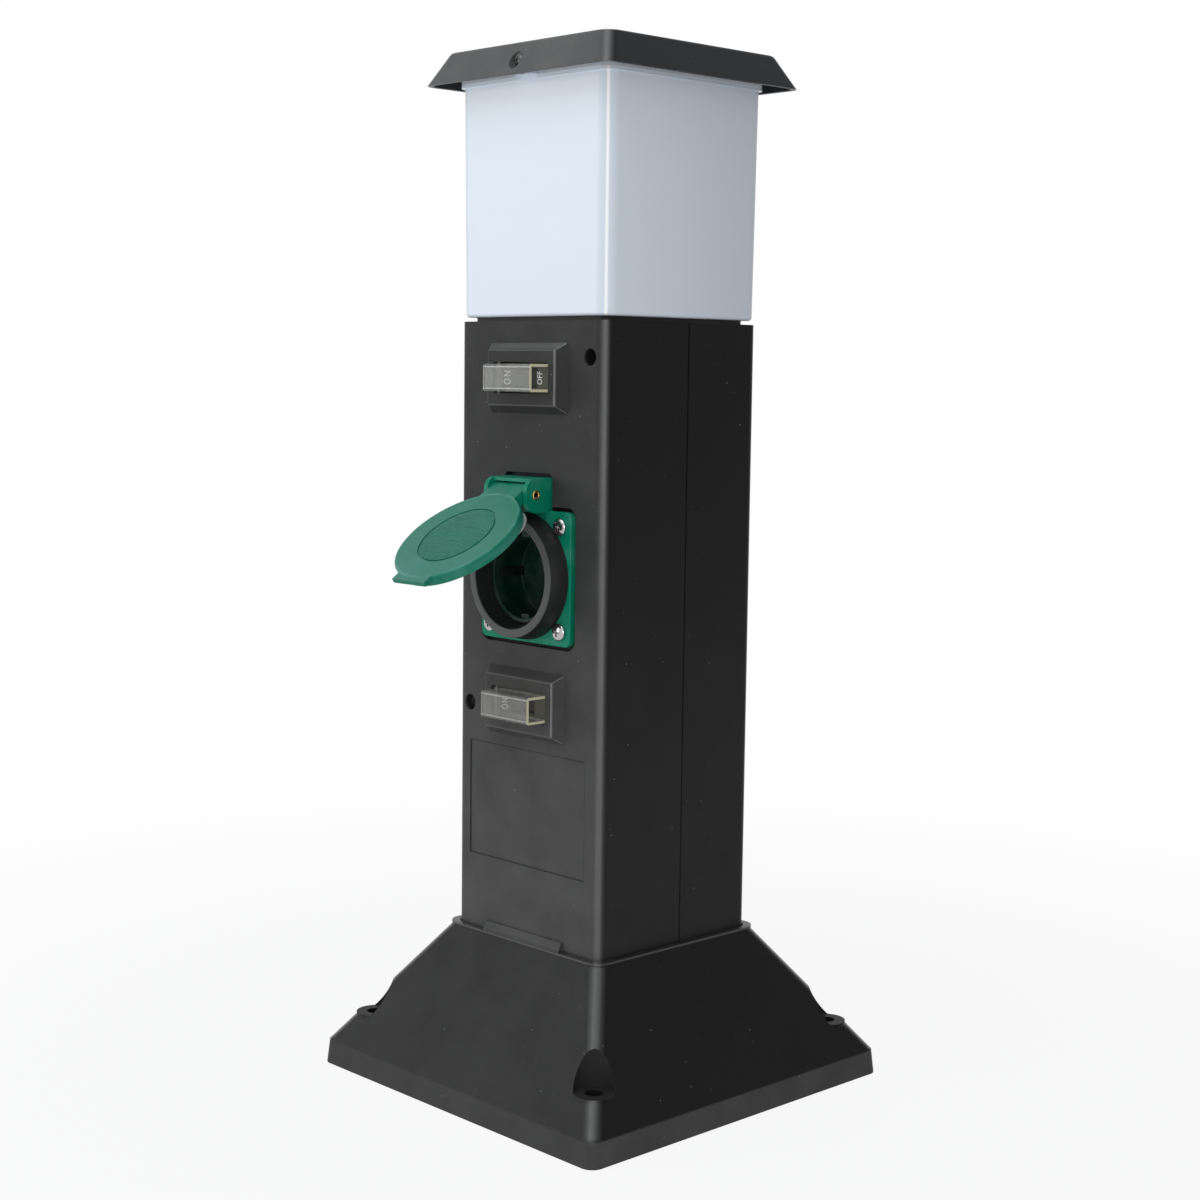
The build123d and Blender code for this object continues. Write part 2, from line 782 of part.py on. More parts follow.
def supply_terminals():
    """Three-pole terminal block on the rail."""
    half = terminal_length / 2
    front = rail_face_y - terminal_depth
    body = block(-half, half, front, rail_face_y, terminal_low, terminal_high)
    body += rail_hooks(terminal_low + 2, terminal_high - 2)
    seat = front + terminal_screw_seat
    for x, y in terminal_holes():
        body -= rod_z(x, y, terminal_low, terminal_high, wire_hole_radius)
    for x, z in terminal_screw_points():
        body -= rod_y(x, z, front, seat, m3_head + slip_gap)
        body -= rod_y(x, z, front, seat + terminal_screw_length + slip_gap, m3_shank + thread_gap)
    return body


def terminal_holes():
    """Places of the supply terminals' wire holes: line, two neutrals and earth."""
    return [
        (terminal_pitch, wire_hole_y),
        (0, wire_hole_y + terminal_row),
        (terminal_pitch / 2, wire_hole_y + terminal_lamp_row),
        (-terminal_pitch, wire_hole_y + terminal_earth_row),
    ]


def terminal_screw_points():
    """Places of the supply terminals' screws as x and z, two to each pole."""
    heights = (terminal_low + terminal_screw_margin, terminal_high - terminal_screw_margin)
    return [(x, z) for x in (-terminal_pitch, 0, terminal_pitch) for z in heights]


def supply_screws():
    """Screws of the supply terminals, two to each pole."""
    seat = rail_face_y - terminal_depth + terminal_screw_seat
    planes = [front_plane(x, seat, z) for x, z in terminal_screw_points()]
    return placed(planes, screw(m3_head, m3_head_height, m3_shank, terminal_screw_length))


def cord_clamp():
    """Bar that holds a supply cord against the rear shell's seat."""
    bar = block(-clamp_length / 2, clamp_length / 2, clamp_seat_y - clamp_bar, clamp_seat_y,
                clamp_z - clamp_height / 2, clamp_z + clamp_height / 2)
    bar -= rod_z(0, clamp_seat_y, clamp_z - clamp_height, clamp_z + clamp_height, clamp_groove - 1)
    for side in (-1, 1):
        bar -= rod_y(side * clamp_screw_x, clamp_z, clamp_seat_y - clamp_bar, clamp_seat_y,
                     m3_shank + slip_gap)
    return bar


def clamp_screws():
    """Two screws of the cord clamp."""
    planes = [front_plane(side * clamp_screw_x, clamp_seat_y - clamp_bar, clamp_z) for side in (-1, 1)]
    return placed(planes, screw(m3_head, m3_head_height, m3_shank, clamp_screw_length - 1))


def flange_points():
    """Places of the four flange screws as x and z."""
    return [(sx * flange_screw_offset, socket_z + sz * flange_screw_offset)
            for sx in (-1, 1) for sz in (-1, 1)]


def socket_gasket():
    """Rubber sheet between the flange and the floor of its recess."""
    sheet = extrude(front_plane(0, recess_floor_y, socket_z) * socket_outline(0), gasket_thickness)
    sheet -= rod_y(0, socket_z, flange_back_y - 1, recess_floor_y + 1, shell_hole_radius - slip_gap)
    for x, z in flange_points():
        sheet -= rod_y(x, z, flange_back_y, recess_floor_y, m3_shank + slip_gap)
    return sheet


def housing_profile():
    """Side outline of the hinge housing, in Y and Z, with a rounded front."""
    back = flange_back_y
    front = hinge_y - housing_front
    low = hinge_z - housing_bottom
    high = hinge_z + housing_top
    rectangle = make_face(Polyline((back, low), (back, high), (front, high), (front, low), close=True))
    front_corners = rectangle.vertices().sort_by(Axis.X)[:2]
    return fillet(front_corners, housing_round)


def socket_flange():
    """Flange plate with the housing of the lid's hinge."""
    plate_face = front_plane(0, flange_back_y, socket_z) * RectangleRounded(
        flange_width, flange_width, flange_corner)
    body = extrude(plate_face, flange_thickness)
    front_edges = body.edges().group_by(Axis.Y)[0]
    body = fillet(front_edges, 0.6)
    body += extrude(side_plane(-housing_half) * housing_profile(), 2 * housing_half)
    gap_half = housing_half - housing_ear
    roof_z = hinge_z + housing_top - housing_roof
    wall_y = flange_back_y - housing_back_wall
    front_y = hinge_y - housing_front - 1
    low_z = hinge_z - housing_bottom
    body -= block(-gap_half, gap_half, front_y, wall_y, low_z, roof_z)
    body -= block(-gap_half, gap_half, front_y, hinge_y - housing_roof_front, roof_z - 1,
                  hinge_z + housing_top + 1)
    body -= rod_x(hinge_y, hinge_z, -housing_half, housing_half, hinge_pin_radius + thread_gap / 2)
    body -= rod_y(0, socket_z, flange_front_y, flange_back_y, well_radius + well_wall + slip_gap)
    for x, z in flange_points():
        body -= rod_y(x, z, flange_front_y, flange_back_y, m3_shank + slip_gap)
    return body


def flange_screws():
    """Four domed screws of the flange."""
    planes = [front_plane(x, flange_front_y, z) for x, z in flange_points()]
    return placed(planes, screw(flange_screw_head, m4_head_height, m3_shank, flange_screw_length))


def socket_collar():
    """Black rubber ring that flares towards the flange."""
    outline = Polyline(
        (collar_inner, 0),
        (collar_base_radius, 0),
        (collar_front_radius, collar_rise),
        (collar_front_radius - collar_lip, collar_rise),
        close=True)
    ring = revolve(Plane.XZ * make_face(outline), Axis.Z)
    rims = ring.edges().filter_by(GeomType.CIRCLE).group_by(Axis.Z)[-1]
    ring = fillet(rims, min(collar_round, 0.4 * collar_lip))
    return front_plane(0, flange_front_y, socket_z).location * ring


def socket_insert():
    """Round well with its floor, pin holes, guides, earth slots and central post."""
    outer_radius = well_radius + well_wall
    body = rod_y(0, socket_z, well_rim_y, insert_back_y, outer_radius)
    body += rod_y(0, socket_z, flange_back_y, insert_ring_back_y, insert_ring_radius)
    body -= rod_y(0, socket_z, well_rim_y, well_floor_y, well_radius)
    for side in (-1, 1):
        guide_top = well_radius - guide_height
        z0, z1 = sorted((socket_z + side * guide_top, socket_z + side * (well_radius + 1)))
        body += block(-guide_width / 2, guide_width / 2, well_rim_y + 2, well_floor_y, z0, z1)
        body -= rod_y(0, socket_z + side * pin_hole_offset, well_floor_y, insert_back_y, pin_hole_radius)
        outer = well_radius - strap_wall_gap + 0.2
        x0, x1 = sorted((side * (outer - strap_thickness - 0.4), side * outer))
        body -= block(x0, x1, well_floor_y, insert_back_y, socket_z - strap_half_width - 0.2,
                      socket_z + strap_half_width + 0.2)
    post_end = rear_cover_back_y - rear_cover_wall
    body += rod_y(0, socket_z, insert_back_y - 1, post_end, rear_post_radius)
    return body - rod_y(0, socket_z, post_end - 9, post_end, m3_shank + thread_gap)


def socket_contacts():
    """Two brass tube contacts, each with a terminal block beside it."""
    items = []
    for side in (-1, 1):
        z = socket_z + side * pin_hole_offset
        start = insert_back_y + 0.1
        tube = rod_y(0, z, start, start + contact_length, contact_radius)
        tube += block(contact_radius - 1, contact_radius + contact_block, start + 2,
                      start + contact_length, z - contact_block / 2, z + contact_block / 2)
        tube -= rod_y(0, z, start, start + contact_length, contact_bore)
        tube -= block(-contact_radius, 0, start, start + contact_length - 3, z - 0.4, z + 0.4)
        tube -= rod_y(contact_radius + contact_block / 2, z, start + 2, start + contact_length,
                      m3_shank + thread_gap)
        items.append(tube)
    return Compound(children=items)


def contact_screws():
    """Terminal screws of the two contacts, put in from behind."""
    y = insert_back_y + 0.1 + contact_length
    planes = [back_plane(contact_radius + contact_block / 2, y, socket_z + side * pin_hole_offset)
              for side in (-1, 1)]
    return placed(planes, screw(m3_head, m3_head_height, m3_shank, 6))


def earth_strap():
    """Sprung earth strip: a bar behind the well's floor and two bulged legs along its wall."""
    outer = well_radius - strap_wall_gap
    inner = outer - strap_thickness
    back = insert_back_y + 0.1
    strap = block(-outer, outer, back, back + strap_thickness, socket_z - strap_half_width,
                  socket_z + strap_half_width)
    strap += rod_y(0, socket_z, back, back + strap_thickness, strap_eye)
    strap -= rod_y(0, socket_z, back, back + strap_thickness, rear_post_radius + 0.2)
    tip_y = well_rim_y + 3
    bulge_y = (tip_y + well_floor_y) / 2
    for side in (-1, 1):
        points = [(outer, back + strap_thickness), (outer, well_floor_y - 2),
                  (outer - strap_bulge, bulge_y), (outer, tip_y),
                  (inner, tip_y), (inner - strap_bulge, bulge_y),
                  (inner, well_floor_y - 2), (inner, back + strap_thickness)]
        leg = make_face(Polyline(*[(side * x, y) for x, y in points], close=True))
        low = socket_z - strap_half_width
        solid = extrude(Pos(0, 0, low) * leg, 2 * strap_half_width, dir=(0, 0, 1))
        strap += solid
    return strap


def socket_rear_cover():
    """Cup over the contacts, with a port for the wires at its bottom."""
    cup = rod_y(0, socket_z, insert_ring_back_y, rear_cover_back_y, insert_ring_radius)
    cup -= rod_y(0, socket_z, insert_ring_back_y, rear_cover_back_y - rear_cover_wall,
                 insert_ring_radius - rear_cover_wall)
    cup -= rod_y(0, socket_z, insert_ring_back_y, rear_cover_back_y, m3_shank + slip_gap)
    low = socket_z - insert_ring_radius
    cup -= block(-cover_port_half, cover_port_half, rear_cover_back_y - cover_port_far,
                 rear_cover_back_y - cover_port_near, low - 1, low + cover_port_height)
    return cup


def rear_cover_screw():
    """Screw that holds the rear cover to the insert's post."""
    return placed([back_plane(0, rear_cover_back_y, socket_z)],
                  screw(m3_head, m3_head_height, m3_shank, rear_cover_wall + 8))


def hinge_pin():
    """Hollow brass pin, a tight fit in the housing's ears."""
    reach = housing_half + hinge_pin_proud
    pin = rod_x(hinge_y, hinge_z, -reach, reach, hinge_pin_radius)
    return pin - rod_x(hinge_y, hinge_z, -reach, reach, hinge_pin_bore)


def opened(part):
    """Swing a piece of the lid from closed to the angle at which it rests."""
    return part.rotate(Axis((0, hinge_y, hinge_z), (-1, 0, 0)), lid_open_angle)


def socket_lid():
    """Round lid with skirt, neck, hinge barrel, blank medallion and thumb tab."""
    outline = Polyline(
        (0, 0),
        (lid_outer_radius, 0),
        (lid_radius, lid_depth),
        (0, lid_depth),
        close=True)
    disc = revolve(Plane.XZ * make_face(outline), Axis.Z)
    disc = fillet(disc.edges().filter_by(GeomType.CIRCLE).group_by(Axis.Z)[-1], lid_edge_round)
    lid = front_plane(0, lid_skirt_y, socket_z).location * disc
    neck_low = socket_z + lid_radius / 2
    lid += block(-neck_half, neck_half, lid_outer_y, lid_skirt_y, neck_low, hinge_z)
    lid += rod_x(hinge_y, hinge_z, -neck_half, neck_half, lid_outer_offset)
    tab_low = socket_z - lid_radius - lid_tab_reach
    lid += block(-lid_tab_width / 2, lid_tab_width / 2, lid_outer_y, lid_outer_y + lid_tab_thickness,
                 tab_low, tab_low + 9)
    lid -= rod_y(0, socket_z, lid_inner_y, lid_skirt_y, lid_skirt_inner)
    lid -= rod_y(0, socket_z, lid_outer_y, lid_outer_y + lid_medal_depth, lid_medal_radius)
    lid += rod_y(0, socket_z, lid_outer_y, lid_outer_y + lid_medal_depth, lid_medal_radius - 1)
    lid -= rod_x(hinge_y, hinge_z, -neck_half, neck_half, hinge_pin_radius + running_gap)
    return opened(lid)


def lid_seal():
    """Pale rubber ring inside the lid that closes on the collar."""
    ring = rod_y(0, socket_z, lid_inner_y, lid_inner_y + seal_thickness, seal_outer)
    ring -= rod_y(0, socket_z, lid_inner_y, lid_inner_y + seal_thickness, seal_inner)
    return opened(ring)


def lamp_tray():
    """Plate that closes the column, with an upstand round the diffuser's opening."""
    plate_half = column_inner - slip_gap
    tray = prism(plate_half, column_corner - column_wall, tray_bottom, column_top)
    upstand_half = lamp_opening_half - slip_gap
    top = column_top + tray_upstand
    tray += prism(upstand_half, lamp_opening_corner, column_top, top)
    tray -= prism(upstand_half - tray_upstand_wall, lamp_opening_corner - tray_upstand_wall,
                  column_top, top)
    for x, y in corners(post_centre):
        tray -= rod_z(x, y, tray_bottom, column_top, m4_shank + slip_gap)
    for side in (-1, 1):
        y = side * holder_screw_y
        tray += rod_z(0, y, tray_bottom - holder_boss_length, tray_bottom, holder_boss_radius)
        tray -= rod_z(0, y, tray_bottom - holder_boss_length, column_top, m3_shank + thread_gap)
    return tray - rod_z(0, 0, tray_bottom, column_top, wire_port_radius)


def lamp_gasket():
    """Black ring in the gap between the column and the diffuser."""
    corner = column_corner - lamp_neck_inset / 2
    ring = prism(neck_half_width, corner, column_top, diffuser_bottom)
    ring -= prism(lamp_opening_half, lamp_opening_corner, column_top, diffuser_bottom)
    for x, y in corners(post_centre):
        ring -= rod_z(x, y, column_top, diffuser_bottom, m4_shank + slip_gap)
    return ring


def lamp_diffuser():
    """Frosted square tube with an inner foot flange, an outer lip and an upstand under the roof."""
    foot_half = column_half - diffuser_foot_inset
    wall = diffuser_wall
    inner_corner = diffuser_corner - wall
    tube = taper(foot_half, diffuser_corner, diffuser_bottom, diffuser_head_half, diffuser_corner, lip_z)
    tube = fillet(tube.edges().group_by(Axis.Z)[0], diffuser_foot_round)
    upstand_top = diffuser_lip_top + diffuser_upstand
    tube += prism(diffuser_head_half, diffuser_corner, lip_z, upstand_top)
    tube += prism(diffuser_head_half + diffuser_lip, diffuser_corner, lip_z, diffuser_lip_top)
    for side in (-1, 1):
        y0, y1 = sorted((side * (diffuser_head_half - 1), side * roof_post_face()))
        tube += block(-diffuser_post_width / 2, diffuser_post_width / 2, y0, y1,
                      diffuser_lip_top, roof_screw_z + m3_shank + diffuser_post_cover)
    tube -= taper(foot_half - wall, inner_corner, diffuser_bottom + wall,
                  diffuser_head_half - wall, inner_corner, lip_z)
    tube -= prism(diffuser_head_half - wall, inner_corner, lip_z, upstand_top)
    tube -= prism(lamp_opening_half, lamp_opening_corner, diffuser_bottom, diffuser_bottom + wall)
    for x, y in corners(post_centre):
        tube -= rod_z(x, y, diffuser_bottom, diffuser_bottom + wall, m4_shank + slip_gap)
    reach = diffuser_head_half + 10
    return tube - rod_y(0, roof_screw_z, -reach, reach, m3_shank + thread_gap)


def lamp_screws():
    """Four screws through the diffuser's foot, the gasket and the tray into the column's posts."""
    planes = [Plane(origin=(x, y, diffuser_bottom + diffuser_wall)) for x, y in corners(post_centre)]
    length = diffuser_wall + lamp_gasket_thickness + lamp_tray_thickness + head_post_height - 1
    return placed(planes, screw(m4_head, m4_head_height, m4_shank, length))


def fascia_half_at(z):
    """Half width of the roof's sloping fascia at a height."""
    share = (z - roof_bottom) / roof_fascia_height
    return roof_eave_half - share * roof_fascia_lean


def roof_post_face():
    """Where the diffuser's screw posts end, just inside the roof's screw pockets."""
    return fascia_half_at(roof_screw_z) - roof_wall - roof_screw_pocket_floor - slip_gap


def roof_cap():
    """Roof with sloping fascia, low pyramid, locating ring and two screw pockets."""
    outer = taper(roof_eave_half, roof_eave_corner, roof_bottom, roof_edge_half, roof_edge_corner, roof_edge_z)
    outer += taper(roof_edge_half, roof_edge_corner, roof_edge_z, roof_peak_half, 1, roof_edge_z + roof_rise)
    roof_edges = outer.edges().filter_by_position(Axis.Z, roof_edge_z - 0.1, roof_edge_z + 0.1)
    outer = fillet(roof_edges, roof_edge_round)
    inner_edge_z = roof_edge_z - roof_wall
    inner_edge_half = roof_edge_half - roof_wall
    hollow = taper(roof_eave_half - roof_wall, roof_eave_corner - roof_wall, roof_bottom,
                   inner_edge_half, roof_edge_corner - roof_wall, inner_edge_z)
    roof = outer - hollow
    ring_inner = diffuser_head_half + slip_gap
    ring_corner = diffuser_corner + slip_gap
    ring = prism(ring_inner + roof_ring_wall, ring_corner + 1, roof_ring_bottom, inner_edge_z + 0.5)
    ring -= prism(ring_inner, ring_corner, roof_ring_bottom, inner_edge_z + 0.5)
    gap = diffuser_post_width / 2 + slip_gap
    far = roof_eave_half
    ring -= block(-gap, gap, -far, far, roof_ring_bottom, diffuser_lip_top + diffuser_upstand + slip_gap)
    roof += ring
    pocket_back = roof_post_face() + slip_gap
    pocket_floor_y = pocket_back + roof_screw_pocket_floor
    for side in (-1, 1):
        y0, y1 = sorted((side * pocket_back, side * far))
        cup = rod_y(0, roof_screw_z, y0, y1, roof_screw_pocket + roof_screw_pocket_floor)
        roof += cup & outer
    for side in (-1, 1):
        y0, y1 = sorted((side * pocket_floor_y, side * far))
        roof -= rod_y(0, roof_screw_z, y0, y1, roof_screw_pocket)
        y0, y1 = sorted((side * pocket_back, side * far))
        roof -= rod_y(0, roof_screw_z, y0, y1, m3_shank + slip_gap)
    return roof


def roof_gasket():
    """Foam ring between the diffuser's lip and the roof's locating ring."""
    inner = diffuser_head_half + slip_gap
    corner = diffuser_corner + slip_gap
    top = roof_ring_bottom
    ring = prism(inner + diffuser_lip, corner + 1, diffuser_lip_top, top)
    ring -= prism(inner, corner, diffuser_lip_top, top)
    gap = diffuser_post_width / 2 + slip_gap
    return ring - block(-gap, gap, -roof_eave_half, roof_eave_half, diffuser_lip_top, top)


def roof_screws():
    """Screws through the front and the rear fascia."""
    head = roof_post_face() + slip_gap + roof_screw_pocket_floor
    planes = [front_plane(0, -head, roof_screw_z), back_plane(0, head, roof_screw_z)]
    return placed(planes, screw(m3_head, m3_head_height, m3_shank, roof_screw_length))


def lamp_holder():
    """Screw lamp holder on the tray."""
    base_top = column_top + holder_base
    top = column_top + holder_height
    floor = column_top + holder_socket_floor
    body = rod_z(0, 0, column_top, base_top, holder_base_radius)
    body += rod_z(0, 0, base_top, top, holder_radius)
    body -= rod_z(0, 0, floor, top, holder_bore)
    body -= rod_z(0, 0, column_top, floor - 2, holder_cavity)
    body -= rod_z(0, 0, floor - 2, floor, 3)
    for side in (-1, 1):
        body -= rod_z(0, side * holder_screw_y, column_top, base_top, m3_shank + slip_gap)
    return body


def holder_screws():
    """Two screws of the lamp holder."""
    planes = [Plane(origin=(0, side * holder_screw_y, column_top + holder_base)) for side in (-1, 1)]
    length = holder_base + lamp_tray_thickness + holder_boss_length - 1
    return placed(planes, screw(m3_head, m3_head_height, m3_shank, length))


def bulb_cap():
    """Metal screw cap of the bulb."""
    low = column_top + holder_socket_floor + 0.2
    cap = rod_z(0, 0, low + 3, low + bulb_cap_length, bulb_cap_radius)
    return cap + rod_z(0, 0, low, low + 3, bulb_cap_radius / 2)


def bulb_globe():
    """Pear-shaped globe of the bulb."""
    low = column_top + holder_socket_floor + 0.2 + bulb_cap_length
    top = low + bulb_length
    centre = top - bulb_radius
    diagonal = bulb_radius / sqrt(2)
    outline = [
        Line((0, low), (bulb_cap_radius, low)),
        Line((bulb_cap_radius, low), (bulb_radius, centre)),
        ThreePointArc((bulb_radius, centre), (diagonal, centre + diagonal), (0, top)),
        Line((0, top), (0, low)),
    ]
    return revolve(Plane.XZ * make_face(outline), Axis.Z)


def wire(*points):
    """Insulated wire of straight runs and tangent arcs."""
    path = FilletPolyline(*points, radius=wire_bend)
    start = path.location_at(0)
    section = Plane(origin=start.position, z_dir=path.tangent_at(0)) * Circle(wire_radius)
    solid = sweep(section, path=path)
    expected = pi * wire_radius ** 2 * path.length
    print("wire length %.0f mm, volume ratio %.3f" % (path.length, solid.volume / expected))
    return solid


def wires():
    """Inner wires from the supply terminals to the breakers, the socket and the lamp."""
    (line_x, line_y), (neutral_x, neutral_y), (lamp_x, lamp_y), (earth_x, earth_y) = terminal_holes()
    wall = column_inner - wire_radius - wire_wall_gap
    near = breaker_length / 2 + wire_radius + wire_end_gap
    end = breaker_length / 2 - wire_bury
    start = terminal_high - wire_bury
    turn = terminal_high + wire_first_turn
    neutral_turn = turn + wire_neutral_turn
    earth_turn = turn + wire_earth_turn
    lamp_turn = turn + wire_lamp_turn
    upper_in = upper_switch_z - wire_hole_pitch
    lower_in = lower_switch_z - wire_hole_pitch
    lower_out = lower_switch_z + wire_hole_pitch
    over = lower_switch_z + breaker_width / 2 + wire_over_breaker
    neutral_over = over + wire_turn_step
    earth_over = neutral_over + wire_turn_step
    lamp_cross = over - wire_under_cross
    below_tray = tray_bottom - wire_under_tray
    under_tray = tray_bottom - wire_tray_gap
    port_z = socket_z - insert_ring_radius + wire_port_rise
    port_y = rear_cover_back_y - wire_port_depth
    earth_port_y = port_y - 1
    into_lamp = column_top + wire_lamp_rise
    pair = wire_pair_half
    return {
        "wire_supply_line": wire(
            (line_x, line_y, start), (line_x, line_y, turn), (wall, line_y, turn),
            (wall, line_y, lower_in), (end, line_y, lower_in)),
        "wire_breaker_link": wire(
            (end, line_y, lower_out), (wall, line_y, lower_out), (wall, line_y, upper_in),
            (end, line_y, upper_in)),
        "wire_socket_line": wire(
            (-end, line_y, lower_out), (-wall, line_y, lower_out), (-wall, line_y, over),
            (-pair, line_y, over), (-pair, port_y, over), (-pair, port_y, port_z)),
        "wire_socket_neutral": wire(
            (neutral_x, neutral_y, start), (neutral_x, neutral_y, neutral_turn),
            (wall, neutral_y, neutral_turn), (wall, neutral_y, neutral_over),
            (pair, neutral_y, neutral_over), (pair, port_y, neutral_over), (pair, port_y, port_z)),
        "wire_earth": wire(
            (earth_x, earth_y, start), (earth_x, earth_y, earth_turn), (wall, earth_y, earth_turn),
            (wall, earth_y, earth_over), (0, earth_y, earth_over),
            (0, earth_port_y, earth_over), (0, earth_port_y, port_z)),
        "wire_lamp_line": wire(
            (-end, line_y, upper_in), (-wall, line_y, upper_in), (-wall, line_y, below_tray),
            (-pair, line_y, below_tray), (-pair, 0, below_tray), (-pair, 0, into_lamp)),
        "wire_lamp_neutral": wire(
            (lamp_x, lamp_y, start), (lamp_x, lamp_y, lamp_turn), (near, lamp_y, lamp_turn),
            (near, lamp_y, lamp_cross), (-wall, lamp_y, lamp_cross), (-wall, lamp_y, under_tray),
            (pair, lamp_y, under_tray), (pair, lamp_y, into_lamp)),
    }


def all_nodes():
    """Every node of the bollard by name."""
    nodes = {
        "plinth": plinth(),
        "column_front": column_front(),
        "column_rear": column_rear(),
        "column_screws": column_screws(),
        "plinth_screws": plinth_screws(),
        "mounting_rail": rail(),
        "rail_screws": rail_screws(),
        "supply_terminals": supply_terminals(),
        "supply_terminal_screws": supply_screws(),
        "cord_clamp": cord_clamp(),
        "cord_clamp_screws": clamp_screws(),
        "socket_gasket": socket_gasket(),
        "socket_flange": socket_flange(),
        "flange_screws": flange_screws(),
        "socket_collar": socket_collar(),
        "socket_insert": socket_insert(),
        "socket_contacts": socket_contacts(),
        "contact_screws": contact_screws(),
        "earth_strap": earth_strap(),
        "socket_rear_cover": socket_rear_cover(),
        "rear_cover_screw": rear_cover_screw(),
        "hinge_pin": hinge_pin(),
        "socket_lid": socket_lid(),
        "lid_seal": lid_seal(),
        "lamp_tray": lamp_tray(),
        "lamp_gasket": lamp_gasket(),
        "lamp_diffuser": lamp_diffuser(),
        "lamp_screws": lamp_screws(),
        "lamp_holder": lamp_holder(),
        "lamp_holder_screws": holder_screws(),
        "bulb_cap": bulb_cap(),
        "bulb_globe": bulb_globe(),
        "roof_cap": roof_cap(),
        "roof_gasket": roof_gasket(),
        "roof_screws": roof_screws(),
    }
    for place, z in (("upper", upper_switch_z), ("lower", lower_switch_z)):
        nodes[place + "_breaker_body"] = breaker_body(z)
        nodes[place + "_breaker_plate"] = breaker_plate(z)
        nodes[place + "_breaker_screws"] = breaker_screws(z)
        nodes[place + "_lever"] = breaker_lever(z)
        nodes[place + "_lever_pin"] = lever_pin(z)
        nodes[place + "_hood"] = breaker_hood(z)
        nodes[place + "_hood_pin"] = hood_pin(z)
    nodes.update(wires())
    return nodes


os.makedirs("parts", exist_ok=True)
for name, shape in all_nodes().items():
    export_step(shape, "parts/" + name + ".step")
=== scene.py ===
import bpy
import bmesh
import json
from contextlib import contextmanager
from math import cos, pi, radians, sin
from mathutils import Matrix, Vector


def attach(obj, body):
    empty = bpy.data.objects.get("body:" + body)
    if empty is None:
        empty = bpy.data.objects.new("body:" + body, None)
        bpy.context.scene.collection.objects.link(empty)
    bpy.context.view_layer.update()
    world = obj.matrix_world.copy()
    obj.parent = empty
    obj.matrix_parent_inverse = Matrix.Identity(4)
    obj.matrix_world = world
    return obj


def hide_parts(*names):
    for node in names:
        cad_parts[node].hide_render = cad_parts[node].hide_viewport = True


# A black garden bollard with a frosted lantern, a lidded green socket and two breakers behind
# clear hoods. Metres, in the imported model's frame: +Z up, and the socket looks towards -Y.

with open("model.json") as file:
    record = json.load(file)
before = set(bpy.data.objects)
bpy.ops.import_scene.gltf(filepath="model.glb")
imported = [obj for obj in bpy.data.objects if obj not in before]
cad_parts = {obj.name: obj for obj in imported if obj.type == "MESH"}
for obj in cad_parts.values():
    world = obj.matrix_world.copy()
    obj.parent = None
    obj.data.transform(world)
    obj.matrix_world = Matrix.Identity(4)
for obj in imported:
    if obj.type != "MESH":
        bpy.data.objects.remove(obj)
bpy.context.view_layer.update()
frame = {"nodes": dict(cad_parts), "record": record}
mm = 0.001

# Places on the shells
face_y = -50 * mm
plinth_top = 72.5 * mm
skirt_top = 11.4 * mm
bolt_offset = 78.1 * mm
bolt_radius = 4.0 * mm
pocket_radius = 9.1 * mm
pocket_floor = 25.7 * mm
fascia_top = 485.0 * mm
label_half = (40.0 * mm, 27.5 * mm)
label_z = 135.5 * mm

# Places in the socket
socket_z = 244.8 * mm
flange_front = -51.5 * mm
flange_screw_offset = 23.9 * mm
flange_screw_shape = (4.0 * mm, 2.2 * mm, 1.5 * mm, 12 * mm)
collar_rise = 9.8 * mm
well_rim_y = -53.3 * mm

# Places on the lid, which is made closed and then swung open to where it rests
hinge_place = Vector((0, -58.1 * mm, 282.9 * mm))
lid_open_angle = radians(55.6)
lid_outer_y = -63.2 * mm
lid_inner_y = -61.9 * mm
lid_rim_y = -58.0 * mm
lid_turn = Matrix.Rotation(-lid_open_angle, 4, "X")
lid_middle = hinge_place + lid_turn @ (Vector((0, lid_outer_y, socket_z)) - hinge_place)
medallion_radius = 19.0 * mm
lid_edge_radius = 30.4 * mm

# Places on the breakers
switch_heights = {"upper": 335.5 * mm, "lower": 185.0 * mm}
surround_half = (22.8 * mm, 12.6 * mm)
surround_front = -55.4 * mm
plate_front = -52.0 * mm
lever_pivot_y = -45 * mm
lever_lean = radians(35)
lever_reach = 16.5 * mm
lever_half = 2.2 * mm
lever_tip_half = 1.7 * mm
lever_half_height = 4 * mm
hood_hinge = (-16.2 * mm, -54.0 * mm)
hood_low = Vector((-14.4 * mm, -66.0 * mm, -6.25 * mm))
hood_high = Vector((18.3 * mm, -53.3 * mm, 6.25 * mm))

# Printed words, as lengths along the word and heights of its letters
on_length = {"upper": 6.2 * mm, "lower": 5.2 * mm}
on_height = 3.1 * mm
on_spacing = 1.35
on_from_pivot = 14 * mm
off_length = 5.9 * mm
off_height = 3.3 * mm
off_x = 9.5 * mm
print_thickness = 0.08 * mm


# Camera, fitted to the photo

def photo_camera():
    """Camera at the photo's place, a little to the right of the corner and slightly above the socket."""
    place = Vector((708.0, -678.7, 337.8)) * mm
    azimuth = radians(46.36)
    pitch = radians(6.27)
    roll = radians(0.70)
    back = Vector((sin(azimuth) * cos(pitch), -cos(azimuth) * cos(pitch), sin(pitch)))
    level = Vector((cos(azimuth), sin(azimuth), 0))
    upright = back.cross(level)
    right = cos(roll) * level + sin(roll) * upright
    up = cos(roll) * upright - sin(roll) * level
    data = bpy.data.cameras.new("photo_camera")
    data.sensor_width = 36
    data.lens = 61.8
    camera = bpy.data.objects.new("photo_camera", data)
    bpy.context.scene.collection.objects.link(camera)
    turn = Matrix((right, up, back)).transposed().to_4x4()
    camera.matrix_world = Matrix.Translation(place) @ turn
    bpy.context.scene.camera = camera


photo_camera()


# Node trees

